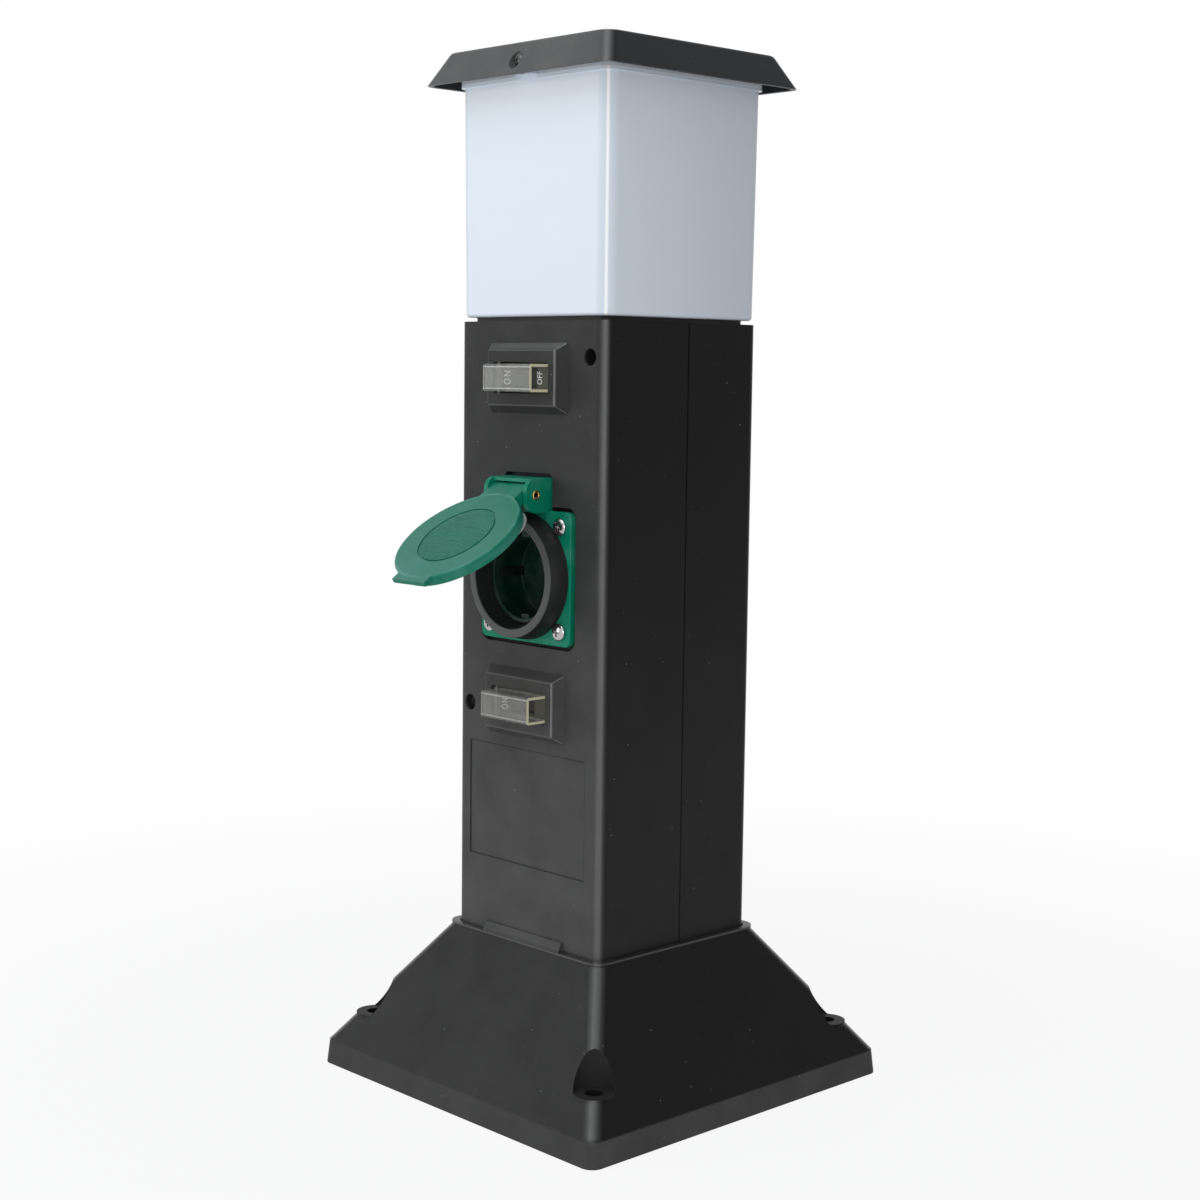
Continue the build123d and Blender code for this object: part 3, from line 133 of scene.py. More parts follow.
class Link:
    """A node's output, on which Python's operators stand for Math nodes."""

    def __init__(self, graph, socket):
        self.graph = graph
        self.socket = socket

    def maths(self, operation, *values):
        return self.graph.node("ShaderNodeMath", {"operation": operation}, dict(enumerate(values)))

    def __add__(self, other):
        return self.maths("ADD", self, other)

    def __sub__(self, other):
        return self.maths("SUBTRACT", self, other)

    def __rsub__(self, other):
        return self.maths("SUBTRACT", other, self)

    def __mul__(self, other):
        return self.maths("MULTIPLY", self, other)

    def __abs__(self):
        return self.maths("ABSOLUTE", self)

    __radd__ = __add__
    __rmul__ = __mul__

    def larger(self, other):
        return self.maths("MAXIMUM", self, other)

    def smaller(self, other):
        return self.maths("MINIMUM", self, other)

    def between(self, low, high):
        """0 below low, 1 above high, and a smooth step from one to the other."""
        return self.graph.node("ShaderNodeMapRange", {"interpolation_type": "SMOOTHSTEP"},
                               {"Value": self, "From Min": low, "From Max": high})

    def under(self, low, high):
        """1 below low, 0 above high, and a smooth step from one to the other."""
        return 1 - self.between(low, high)

    def near(self, inner, outer):
        """1 within inner of zero on both sides, 0 beyond outer, and a smooth step between."""
        return abs(self).under(inner, outer)


class Graph:
    """A node tree that starts with its output node alone."""

    def __init__(self, tree, output):
        self.tree = tree
        tree.nodes.clear()
        self.output = tree.nodes.new(output)

    def node(self, kind, settings=None, inputs=None, output=0):
        """Adds a node, sets it up, fills its inputs with values or links, and returns one output."""
        made = self.tree.nodes.new(kind)
        for key, value in (settings or {}).items():
            setattr(made, key, value)
        for key, value in (inputs or {}).items():
            self.feed(made.inputs[key], value)
        return Link(self, made.outputs[output])

    def feed(self, socket, value):
        """Puts a link, a number, a vector or a colour on a socket."""
        if isinstance(value, Link):
            self.tree.links.new(value.socket, socket)
        elif socket.type == "RGBA":
            socket.default_value = (*value, 1)
        else:
            socket.default_value = value

    def show(self, shader):
        """Makes a shader the one that is seen."""
        self.feed(self.output.inputs["Surface"], shader)

    def mix(self, factor, first, second):
        """Shader that goes from the first to the second with the factor."""
        return self.node("ShaderNodeMixShader", None, {0: factor, 1: first, 2: second})

    def seen(self):
        """1 for what the camera sees, straight or by a reflection or refraction, and 0 for other light."""
        rays = ["Is Camera Ray", "Is Glossy Ray", "Is Transmission Ray"]
        straight, reflected, refracted = [self.node("ShaderNodeLightPath", output=ray) for ray in rays]
        return straight.larger(reflected).larger(refracted)


class Paint(Graph):
    """One material: a Principled shader with its fixed values, and the nodes that vary it."""

    def __init__(self, name, colour, roughness, **fixed):
        self.name = name
        self.material = bpy.data.materials.new(name)
        self.material.use_nodes = True
        super().__init__(self.material.node_tree, "ShaderNodeOutputMaterial")
        self.surface = self.node("ShaderNodeBsdfPrincipled")
        self.show(self.surface)
        self.vary(Base_Color=colour, Roughness=roughness, **fixed)
        self.place = self.node("ShaderNodeTexCoord", output="Object")

    def vary(self, **values):
        """Puts values or links on the shader's inputs, such as Base_Color or Roughness."""
        inputs = self.surface.socket.node.inputs
        for key, value in values.items():
            self.feed(inputs[key.replace("_", " ")], value)

    def axes(self):
        """The three object coordinates, in metres."""
        split = self.node("ShaderNodeSeparateXYZ", None, {"Vector": self.place}).socket.node
        return [Link(self, output) for output in split.outputs]

    def noise(self, grain, detail=3.0, place=None):
        """Noise between 0 and 1 whose features are about one grain wide, in metres."""
        return self.node("ShaderNodeTexNoise", None,
                         {"Vector": place or self.place, "Scale": 1 / grain, "Detail": detail}, "Fac")

    def stretched(self, x, y, z):
        """Object coordinates scaled along each axis, for streaks."""
        return self.node("ShaderNodeMapping", None, {"Vector": self.place, "Scale": (x, y, z)})

    def dots(self, cell, size):
        """Mask of round dots of about one size, scattered one to a cell."""
        distance = self.node("ShaderNodeTexVoronoi", None,
                             {"Vector": self.place, "Scale": 1 / cell}, "Distance")
        return distance.under(0.5 * size / cell, size / cell)

    def tint(self, factor, first, second):
        """Colour that goes from the first to the second with the factor."""
        factor_input, first_input, second_input, colour_output = 0, 6, 7, 2
        return self.node("ShaderNodeMix", {"data_type": "RGBA"},
                         {factor_input: factor, first_input: first, second_input: second}, colour_output)

    def vector_maths(self, operation, *values, output=0):
        """Vector Math node on links or vectors."""
        return self.node("ShaderNodeVectorMath", {"operation": operation}, dict(enumerate(values)), output)

    def bump(self, height, depth):
        """Raises the surface by height, from 0 to 1, times depth in metres."""
        self.vary(Normal=self.node("ShaderNodeBump", None,
                                   {"Strength": 1.0, "Distance": depth, "Height": height}, "Normal"))


# Materials

def scaled(colour, share, rise=0.0):
    """Colour times a share, plus an even rise."""
    return [value * share + rise for value in colour]


def from_switches(z):
    """Height above or below the middle of the nearer breaker."""
    return abs(z - switch_heights["upper"]).smaller(abs(z - switch_heights["lower"]))


def moulded(name, colour, roughness, grain=0.7 * mm, depth=0.02 * mm, spread=0.12, **fixed):
    """Moulded plastic: fine spark-eroded grain, uneven gloss and a slow change of tone.

    Finishes that build on it start from its shade and its gloss.
    """
    paint = Paint(name, colour, roughness, **fixed)
    slow = paint.noise(60 * mm, 2)
    fine = paint.noise(grain, 2)
    paint.shade = paint.tint(slow, scaled(colour, 1 - spread), scaled(colour, 1 + spread))
    paint.gloss = roughness + 0.10 * (slow - 0.5) + 0.08 * (fine - 0.5)
    paint.vary(Base_Color=paint.shade, Roughness=paint.gloss)
    paint.bump(fine, depth)
    return paint


def bolt_masks(x, y, z):
    """Masks of the bolt pockets' floors with their holes, and of the holes alone."""
    bolt_x = abs(x) - bolt_offset
    bolt_y = abs(y) - bolt_offset
    from_bolt = bolt_x * bolt_x + bolt_y * bolt_y
    pocket = from_bolt.under(pocket_radius ** 2, (pocket_radius + 0.3 * mm) ** 2)
    hole = from_bolt.under(bolt_radius ** 2, (bolt_radius + 0.5 * mm) ** 2)
    floor = z.between(pocket_floor - 0.4 * mm, pocket_floor - 0.1 * mm)
    return (pocket * floor).larger(hole), hole


def surround_masks(x, y, z):
    """Masks of painted highlights along the rim and mitre edges of the breakers' surrounds, stronger on the
    right, and of a painted sheen on the upper surround's top slope.
    """
    line = (0.2 * mm, 0.6 * mm)
    half_length, half_height = surround_half
    from_switch = from_switches(z)
    out_x = abs(x) - half_length
    out_z = from_switch - half_height
    by_switch = from_switch.under(18 * mm, 18.5 * mm)
    raised = y.under(surround_front + 0.4 * mm, surround_front + 0.9 * mm) * by_switch
    slope = y.under(face_y - 0.8 * mm, face_y - 0.3 * mm) * (1 - raised) * by_switch
    right = 0.3 + 0.7 * x.between(0, mm)
    side_line = out_x.near(*line) * right
    mitre = (out_x - out_z).near(*line) * slope * right
    rim_highlights = (raised * side_line.larger(0.35 * out_z.near(*line))).larger(0.6 * mitre)
    top = switch_heights["upper"] + half_height
    # Painted sheen on the upper surround's top slope only.
    pale_share = slope * z.between(top, top + mm) * (out_z - out_x).between(-0.2 * mm, 0.2 * mm)
    return rim_highlights, pale_share


def shell_plastic(name, colour, roughness, level, front_light, corner_highlight):
    """Black shell plastic: polished corners, pale specks, small scuffs and dusty bolt pockets, with painted
    light: a lighter front, lighter towards the bottom and on the skirt, painted highlights on the corners
    and the surrounds' rim edges, and a painted sheen on the upper surround's top slope.
    """
    paint = moulded(name, colour, roughness, Specular_IOR_Level=level, Coat_Roughness=0.46)
    x, y, z = paint.axes()
    pocket, hole = bolt_masks(x, y, z)
    rim_highlights, slope_sheen = surround_masks(x, y, z)
    above_plinth = z.between(plinth_top, plinth_top + mm)
    upright = z.between(skirt_top - mm, skirt_top + 2 * mm) * z.under(fascia_top - mm, fascia_top + mm)
    exposed = (1 - pocket) * upright
    outside = y.under(face_y + 1.0 * mm, face_y + 1.4 * mm)
    # Front quadrant, where painted light makes the plastic lighter, as if the key light fell on it.
    front = (0 - y - abs(x)).between(-1.5 * mm, 1.5 * mm) * outside * (1 - pocket)

    # Painted floor light: the plastic is lighter towards the bottom and on the skirt, as if lit by the pale
    # floor.
    painted_floor_light = z.under(90 * mm, 330 * mm) * above_plinth
    painted_skirt_light = z.under(skirt_top - 0.5 * mm, skirt_top + 0.5 * mm) * (0.20 - 0.13 * front)
    # Painted light on the front, low down and on the skirt, plus the dusty floors of the bolt pockets.
    pale_share = front * (front_light + 0.09 * painted_floor_light) + 0.05 * painted_floor_light + painted_skirt_light + 0.05 * pocket * (1 - hole)
    label_out = (abs(x) - label_half[0]).larger(abs(z - label_z) - label_half[1])
    # Painted shade: a darker outline along the edges of the label's recess.
    label_edge_shade = label_out.near(0.1 * mm, 0.5 * mm) * outside
    pale_share = pale_share * (1 - 0.45 * label_edge_shade)

    off_corner = abs(abs(x) - abs(y)) * (1 + 0.55 * above_plinth)
    # Painted highlight: the rounded vertical corners are made lighter.
    painted_corner_highlight = corner_highlight * exposed * off_corner.under(0.8 * mm, 3.5 * mm)
    # All the painted highlights and sheen: corners, the surrounds' rim edges and the upper top slope.
    painted_highlights = painted_corner_highlight + 0.30 * rim_highlights + 0.24 * slope_sheen
    specks = paint.dots(10 * mm, 0.42 * mm).larger(0.6 * paint.dots(5.3 * mm, 0.24 * mm))
    patches = paint.noise(35 * mm, 4).between(0.60, 0.72)
    scratches = paint.noise(2.2 * mm, 3, paint.stretched(1, 1, 0.12)).between(0.66, 0.76)
    slow = 0.55 + 0.9 * paint.noise(24 * mm, 5)
    # Specks and scuffs are the plastic's own. The rest is painted light and highlights, together with the
    # dusty pocket floors.
    marks_and_painted_light = 0.5 * specks + 0.10 * patches * scratches + slow * (pale_share + painted_highlights)

    corner = off_corner.under(2.0 * mm, 6.5 * mm) * exposed
    lip_line = (z - plinth_top + 0.4 * mm).near(0.3 * mm, 0.8 * mm)
    polish = corner.larger(rim_highlights).larger(lip_line) * (0.65 + 0.5 * paint.noise(0.9 * mm, 3))
    paint.vary(Base_Color=paint.tint(marks_and_painted_light, paint.shade, (0.30, 0.30, 0.29)),
               Roughness=paint.gloss + 0.15 * marks_and_painted_light, Coat_Weight=polish)
    return paint


def green_plastic(name, colour, roughness, level):
    """Glossy green plastic with shallow flow waves, a patchy bloom and a few hairline scratches."""
    paint = moulded(name, colour, roughness, spread=0.10, Specular_IOR_Level=level)
    scratches = paint.noise(1.5 * mm, 2, paint.stretched(1, 0.2, 0.35)).between(0.68, 0.78)
    bloom = paint.noise(13 * mm, 4).between(0.42, 0.72)
    paint.shade = paint.tint(0.5 * bloom, paint.shade, scaled(colour, 1.15, 0.05))
    paint.gloss = paint.gloss + 0.12 * scratches + 0.10 * bloom
    paint.waves = paint.noise(7 * mm, 3)
    paint.vary(Base_Color=paint.shade, Roughness=paint.gloss)
    paint.bump(paint.waves, 0.06 * mm)
    return paint


def lid_plastic(name, colour, roughness, level):
    """The lid's green: a painted pale, bluish sheen on its outer face towards the tab, a painted highlight
    along its edge, and deeper and stippled in the blank medallion.
    """
    paint = green_plastic(name, colour, roughness, level)
    z = paint.axes()[2]
    outwards = lid_turn @ Vector((0, -1, 0))
    offset = paint.vector_maths("SUBTRACT", paint.place, lid_middle)
    distance = paint.vector_maths("LENGTH", offset, output="Value")
    rise = paint.vector_maths("DOT_PRODUCT", offset, outwards, output="Value")
    medallion = distance.under(medallion_radius - 0.8 * mm, medallion_radius)
    stipple = paint.noise(1.1 * mm, 2, paint.stretched(0.35, 1, 1)).between(0.35, 0.65)
    patchiness = paint.noise(16 * mm, 4).between(0.38, 0.62)
    towards_tab = z.under(lid_middle.z - 15 * mm, lid_middle.z + 14 * mm)
    # Painted sheen: the outer face turns pale and bluish towards the tab.
    edge = (1 - medallion) * (0.5 + 0.5 * patchiness) * towards_tab * rise.between(-0.9 * mm, -0.4 * mm)
    # Painted highlight: a pale line along the lid's edge.
    rim = (distance - lid_edge_radius).near(0.3 * mm, 0.9 * mm) * (0.3 + patchiness)
    inner = medallion * (0.3 + 0.7 * towards_tab.larger(patchiness)) * (0.6 + 0.4 * stipple)
    # Colour of the painted sheen.
    pale = (colour[0] + 0.04, colour[1] + 0.04, colour[2] + 0.055)
    with_sheen = paint.tint(edge, paint.shade, pale)
    deepened = paint.tint(inner, with_sheen, scaled(colour, 0.74))
    paint.vary(Base_Color=paint.tint(0.5 * rim, deepened, (0.12, 0.34, 0.28)),
               Roughness=paint.gloss + 0.08 * stipple * medallion)
    paint.bump(paint.waves + 0.6 * stipple * inner, 0.10 * mm)
    return paint


def rubber(name, colour, roughness, bloom_colour, level=0.2):
    """Rubber with a soft, dusty bloom."""
    paint = moulded(name, colour, roughness, grain=0.5 * mm, Specular_IOR_Level=level)
    bloom = paint.noise(14 * mm, 4).between(0.45, 0.75)
    paint.vary(Base_Color=paint.tint(0.4 * bloom, paint.shade, bloom_colour),
               Roughness=paint.gloss + 0.15 * bloom)
    return paint


def collar_rubber(name, colour):
    """The collar's black rubber, with dusty specks and a painted sheen that makes its front lip pale."""
    paint = rubber(name, colour, 0.38, (0.05, 0.05, 0.05), 0.25)
    y = paint.axes()[1]
    lip_y = flange_front - collar_rise
    lip = y.under(lip_y + 0.25 * mm, lip_y + 0.6 * mm)
    # Painted sheen: the front lip is made pale.
    painted_highlights = lip * (0.85 + 0.5 * (paint.noise(6 * mm, 4) - 0.5))
    specks = paint.dots(4.5 * mm, 0.28 * mm)
    paint.vary(Base_Color=paint.tint(painted_highlights.larger(0.9 * specks), paint.shade, (0.10, 0.10, 0.10)),
               Roughness=paint.gloss + 0.2 * painted_highlights)
    return paint


def metal(name, colour, roughness):
    """Plated metal with fine turning lines and small dull spots."""
    paint = Paint(name, colour, roughness, Metallic=1.0)
    fine = paint.noise(0.4 * mm, 2, paint.stretched(1, 1, 4))
    spots = paint.noise(2.5 * mm, 3).between(0.5, 0.8)
    paint.vary(Base_Color=paint.tint(0.5 * spots, colour, scaled(colour, 0.6)),
               Roughness=roughness + 0.1 * (fine - 0.5) + 0.12 * spots)
    paint.bump(fine, 0.008 * mm)
    return paint


def opal(name, colour):
    """Frosted opal plastic of the lantern, with painted shade deepening its tone towards the back and a
    painted highlight along its corners.
    """
    paint = moulded(name, colour, 0.30, grain=0.5 * mm, depth=0.012 * mm, spread=0.02,
                    Specular_IOR_Level=0.35)
    x, y = paint.axes()[:2]
    # Painted shade: the tone deepens towards the back.
    rear = y.between(-60 * mm, 70 * mm)
    # Painted highlight: a white line along the corners.
    corner = (abs(x) - abs(y)).near(0.6 * mm, 1.3 * mm)
    body = paint.tint(rear, paint.shade, scaled(colour, 0.78))
    paint.vary(Base_Color=paint.tint(corner, body, (1.0, 1.0, 1.0)))
    return paint


def clear_plastic(name, colour):
    """Smoked clear plastic: a soft veil, denser where a wall is seen edge-on, and creamy cut ends."""
    paint = Paint(name, colour, 0.10, Specular_IOR_Level=0.5)
    x, y, z = paint.axes()
    from_switch = from_switches(z)
    haze = paint.noise(9 * mm, 3)
    wall = from_switch.between(4.8 * mm, 5.2 * mm)
    line = (0.10 * mm, 0.30 * mm)
    across = abs(from_switch - 4.9 * mm).between(*line)
    along = abs(x - hood_low.x - 1.3 * mm).between(*line)
    inner_front = y.under(hood_low.y + 1.5 * mm, hood_low.y + 1.9 * mm)
    frame_line = (1 - across.smaller(along)) * inner_front * from_switch.under(5.3 * mm, 5.5 * mm)
    cut = x.between(hood_high.x - 0.15 * mm, hood_high.x - 0.05 * mm)
    edge = paint.node("ShaderNodeLayerWeight", None, {"Blend": 0.35}, "Fresnel")
    clear = paint.node("ShaderNodeBsdfTransparent", None, {"Color": (0.96, 0.96, 0.94)})
    veil = 0.12 + 0.05 * haze + 0.05 * wall + 0.10 * edge + 0.45 * frame_line
    paint.vary(Base_Color=paint.tint(cut, colour, (0.80, 0.74, 0.52)), Roughness=0.08 + 0.08 * haze)
    paint.show(paint.mix(veil.larger(0.85 * cut), clear, paint.surface))
    return paint


paints = (
    # For the shells, the last two numbers are the shares of painted front light and of the painted corner
    # highlight.
    shell_plastic("black_plastic", (0.012, 0.012, 0.0115), 0.42, 0.045, 0.10, 0.20),
    shell_plastic("roof_plastic", (0.022, 0.023, 0.026), 0.42, 0.07, 0.32, 0.16),
    opal("opal_plastic", (0.74, 0.80, 0.88)),
    green_plastic("green_plastic", (0.003, 0.210, 0.120), 0.30, 0.09),
    lid_plastic("lid_plastic", (0.003, 0.185, 0.112), 0.32, 0.08),
    # The well's green is painted darker, standing for the shade inside the deep socket.
    green_plastic("dark_green_plastic", (0.001, 0.020, 0.013), 0.34, 0.12),
    moulded("grey_plastic", (0.30, 0.31, 0.31), 0.45),
    moulded("dark_plastic", (0.085, 0.085, 0.062), 0.42, Specular_IOR_Level=0.2),
    moulded("white_plastic", (0.05, 0.05, 0.048), 0.40, Specular_IOR_Level=0.3),
    clear_plastic("clear_plastic", (0.56, 0.56, 0.54)),
    rubber("black_rubber", (0.016, 0.016, 0.016), 0.45, (0.05, 0.05, 0.05)),
    collar_rubber("collar_rubber", (0.016, 0.016, 0.016)),
    rubber("pale_rubber", (0.40, 0.41, 0.40), 0.55, (0.55, 0.55, 0.54)),
    moulded("white_foam", (0.66, 0.70, 0.76), 0.60, grain=0.4 * mm, spread=0.05),
    metal("brass", (0.92, 0.62, 0.26), 0.24),
    metal("steel", (0.60, 0.60, 0.61), 0.22),
    metal("chrome", (0.48, 0.46, 0.47), 0.12),
    metal("dark_steel", (0.10, 0.10, 0.10), 0.35),
    metal("dull_brass", (0.30, 0.22, 0.10), 0.35),
    moulded("ceramic", (0.75, 0.73, 0.68), 0.30),
    moulded("bulb_glass", (0.80, 0.80, 0.78), 0.40, spread=0.02),
    moulded("brown_wire", (0.16, 0.06, 0.03), 0.40),
    moulded("blue_wire", (0.02, 0.10, 0.40), 0.40),
    moulded("green_wire", (0.16, 0.38, 0.04), 0.40),
    moulded("white_print", (0.78, 0.78, 0.76), 0.50, spread=0.06),
)
finishes = {paint.name: paint.material for paint in paints}


# Modelling by hand

def grab(piece):
    """Leaves one object selected and active, in object mode."""
    if bpy.context.object and bpy.context.object.mode != "OBJECT":
        bpy.ops.object.mode_set(mode="OBJECT")
    bpy.ops.object.select_all(action="DESELECT")
    piece.select_set(True)
    bpy.context.view_layer.objects.active = piece


def settle(piece, name=None):
    """Applies an object's place to its mesh, and names both."""
    grab(piece)
    bpy.ops.object.transform_apply(location=True, rotation=True, scale=True)
    piece.name = name or piece.name
    piece.data.name = piece.name
    return piece


def carry(piece, place, turn):
    """Turns a piece, carries it to its place and applies both to its mesh."""
    piece.matrix_world = Matrix.Translation(place) @ turn
    return settle(piece)


@contextmanager
def editing(piece):
    """Edit mode on one piece, with nothing selected."""
    grab(piece)
    bpy.ops.object.mode_set(mode="EDIT")
    bpy.ops.mesh.select_all(action="DESELECT")
    yield
    bpy.ops.object.mode_set(mode="OBJECT")


def pick(piece, kind, test):
    """In edit mode, selects the faces or edges that pass a test."""
    bpy.ops.mesh.select_mode(type=kind)
    bpy.ops.mesh.select_all(action="DESELECT")
    mesh = bmesh.from_edit_mesh(piece.data)
    items = {"FACE": mesh.faces, "EDGE": mesh.edges}[kind]
    for item in items:
        if test(item):
            item.select_set(True)
    mesh.select_flush_mode()
    bmesh.update_edit_mesh(piece.data)


def apply_modifier(piece, kind, **settings):
    """Adds one modifier and applies it."""
    grab(piece)
    modifier = piece.modifiers.new(kind.lower(), kind)
    for key, value in settings.items():
        setattr(modifier, key, value)
    bpy.ops.object.modifier_apply(modifier=modifier.name)


def bevel(piece, width, segments, angle):
    """Rounds every edge that is sharper than an angle in degrees."""
    apply_modifier(piece, "BEVEL", width=width, segments=segments, limit_method="ANGLE",
                   angle_limit=radians(angle))


def smooth(piece, angle=35):
    """Smooth shading that keeps flat faces flat, with edges sharp above an angle in degrees."""
    grab(piece)
    bpy.ops.object.shade_smooth_by_angle(angle=radians(angle))
    apply_modifier(piece, "WEIGHTED_NORMAL", keep_sharp=True, weight=100)
    return piece


def cube(name, low, high):
    """Block between two corners."""
    middle = [(a + b) / 2 for a, b in zip(low, high)]
    bpy.ops.object.select_all(action="DESELECT")
    bpy.ops.mesh.primitive_cube_add(size=1, location=middle)
    piece = bpy.context.object
    piece.scale = [b - a for a, b in zip(low, high)]
    return settle(piece, name)


def rod(name, centre, axis, length, radius, sides=48):
    """Round bar about a centre, along x, y or z."""
    turns = {"x": (0, pi / 2, 0), "y": (pi / 2, 0, 0), "z": (0, 0, 0)}
    bpy.ops.object.select_all(action="DESELECT")
    bpy.ops.mesh.primitive_cylinder_add(vertices=sides, radius=radius, depth=length,
                                        location=centre, rotation=turns[axis])
    return settle(bpy.context.object, name)


def combine(piece, other, operation="UNION"):
    """Boolean of two pieces; the second one is used up."""
    apply_modifier(piece, "BOOLEAN", operation=operation, solver="EXACT", object=other)
    bpy.data.objects.remove(other)
    return piece


def turned(name, profile, steps=96):
    """Piece spun about Z from its half section, given as points of radius and height."""
    bpy.ops.object.select_all(action="DESELECT")
    bpy.ops.mesh.primitive_plane_add(size=mm)
    piece = bpy.context.object
    with editing(piece):
        bpy.ops.mesh.select_all(action="SELECT")
        bpy.ops.mesh.merge(type="CENTER")
        radius, height = profile[0]
        bpy.ops.transform.translate(value=(radius, 0, height))
        for next_radius, next_height in profile[1:]:
            step = (next_radius - radius, 0, next_height - height)
            bpy.ops.mesh.extrude_vertices_move(TRANSFORM_OT_translate={"value": step})
            radius, height = next_radius, next_height
        bpy.ops.mesh.select_all(action="SELECT")
        bpy.ops.mesh.spin(steps=steps, angle=2 * pi, center=(0, 0, 0), axis=(0, 0, 1))
        bpy.ops.mesh.select_all(action="SELECT")
        bpy.ops.mesh.remove_doubles(threshold=0.001 * mm)
        bpy.ops.mesh.dissolve_degenerate(threshold=0.001 * mm)
        bpy.ops.mesh.select_all(action="SELECT")
        bpy.ops.mesh.normals_make_consistent(inside=False)
    return settle(piece, name)


def arc(centre, radius, start, end, steps=6):
    """Points on an arc of a half section, with its angles in degrees from the radius towards +Z."""
    centre_radius, centre_height = centre
    angles = [radians(start + (end - start) * i / steps) for i in range(steps + 1)]
    return [(centre_radius + radius * cos(a), centre_height + radius * sin(a)) for a in angles]


def face_to(piece, place, direction):
    """Turns a piece made along +Z to a direction and carries it to its place."""
    turn = Vector(direction).to_track_quat("Z", "Y")
    return carry(piece, place, turn.to_matrix().to_4x4())


def copied(piece, name):
    """Copy of a piece with its own mesh."""
    other = piece.copy()
    other.data = piece.data.copy()
    other.name = name
    other.data.name = name
    bpy.context.scene.collection.objects.link(other)
    return other


def joined(pieces, name):
    """One piece out of several."""
    grab(pieces[0])
    for piece in pieces[1:]:
        piece.select_set(True)
    bpy.ops.object.join()
    return settle(bpy.context.object, name)


def rounded_copy(node, name, width, segments=3):
    """Merged copy of a CAD solid with its sharp edges rounded."""
    piece = copied(frame["nodes"][node], name)
    piece.parent = None
    with editing(piece):
        bpy.ops.mesh.select_all(action="SELECT")
        bpy.ops.mesh.remove_doubles(threshold=0.002 * mm)
        bpy.ops.mesh.customdata_custom_splitnormals_clear()
        bpy.ops.mesh.select_all(action="SELECT")
        bpy.ops.mesh.dissolve_limited(angle_limit=radians(0.6), use_dissolve_boundaries=False)
    bevel(piece, width, segments, 30)
    return smooth(piece)


def place_piece(piece, body, slot, *nodes, finish=None):
    """Gives a piece its finish, its body and the solids that it stands for."""
    piece.data.materials.clear()
    piece.data.materials.append(finishes[finish or slot])
    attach(piece, body)
    if nodes:
        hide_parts(*nodes)
    return piece


def screw(name, head, rise, shank, length):
    """Domed cross-head screw along Z, its head resting on zero and its shank below."""
    edge = 0.35 * rise
    undercut = 0.15 * mm
    cross_reach, cross_half = 0.62 * head, 0.15 * head
    cross_floor, cross_taper = 0.30 * rise, 0.72
    dome = [(head * sin(radians(a)), edge + (rise - edge) * cos(radians(a))) for a in range(0, 91, 9)]
    foot = [(head - undercut, 0.0), (shank, 0.0), (shank, -length), (0.0, -length)]
    piece = turned(name, dome + foot, 48)
    for half_x, half_y in ((cross_reach, cross_half), (cross_half, cross_reach)):
        slot = cube("slot", (-half_x, -half_y, cross_floor), (half_x, half_y, 2 * rise))
        with editing(slot):
            pick(slot, "FACE", lambda face: face.normal.z < -0.9)
            bpy.ops.transform.resize(value=(cross_taper, cross_taper, 1))
        combine(piece, slot, "DIFFERENCE")
    return piece


def screws(name, shape, places, direction):
    """Copies of one screw at several places, with the way that their heads look."""
    first = screw("screw", *shape)
    copies = [face_to(copied(first, "copy"), place, direction) for place in places]
    bpy.data.objects.remove(first)
    return smooth(joined(copies, name))


def lettering(name, words, length, height, place, facing, spacing=1.0):
    """Printed word that reads upwards, its letters' tops to the left of the way it faces."""
    bpy.ops.object.select_all(action="DESELECT")
    bpy.ops.object.text_add()
    text = bpy.context.object
    text.data.body = words
    text.data.extrude = 0.5
    text.data.offset = 0.008
    text.data.space_character = spacing
    bpy.ops.object.convert(target="MESH")
    piece = bpy.context.object
    bpy.ops.object.origin_set(type="ORIGIN_GEOMETRY", center="BOUNDS")
    size = piece.dimensions.copy()
    reading = Vector((0, 0, 1))
    facing = Vector(facing).normalized()
    tops = facing.cross(reading)
    turn = Matrix((reading, tops, facing)).transposed().to_4x4()
    scale = Matrix.Diagonal((length / size.x, height / size.y, print_thickness / size.z, 1))
    piece.name = name
    carry(piece, place, turn @ scale)
    with editing(piece):
        bpy.ops.mesh.select_all(action="SELECT")
        bpy.ops.mesh.remove_doubles(threshold=0.001 * mm)
        bpy.ops.mesh.select_all(action="SELECT")
        bpy.ops.mesh.normals_make_consistent(inside=False)
    return piece


# Shells

for node, name, rounding, slot in (
        ("plinth", "plinth_shell", 0.8 * mm, "black_plastic"),
        ("column_front", "front_shell", 0.5 * mm, "black_plastic"),
        ("column_rear", "rear_shell", 0.5 * mm, "black_plastic"),
        ("roof_cap", "roof", 0.8 * mm, "roof_plastic"),
        ("lamp_diffuser", "diffuser", 0.4 * mm, "opal_plastic")):
    place_piece(rounded_copy(node, name, rounding), "bollard", slot, node)
place_piece(rounded_copy("lamp_tray", "lamp_base", 0.3 * mm), "bollard", "dark_plastic", "lamp_tray",
            finish="black_plastic")


# Socket

def collar():
    """Flaring rubber ring with rounded lips."""
    lip = 0.6 * mm
    foot_inner, foot_outer = 22.0 * mm, 29.5 * mm
    front_inner, front_outer = 24.0 * mm, 28.0 * mm
    front = collar_rise - lip
    profile = [(foot_inner, 0.0), (foot_outer, 0.0)]
    profile += arc((front_outer - lip, front), lip, 8, 90)
    profile += arc((front_inner + lip, front), lip, 90, 180)
    profile += [(foot_inner, 0.0)]
    piece = turned("socket_ring", profile, 128)
    return smooth(face_to(piece, (0, flange_front, socket_z), (0, -1, 0)))


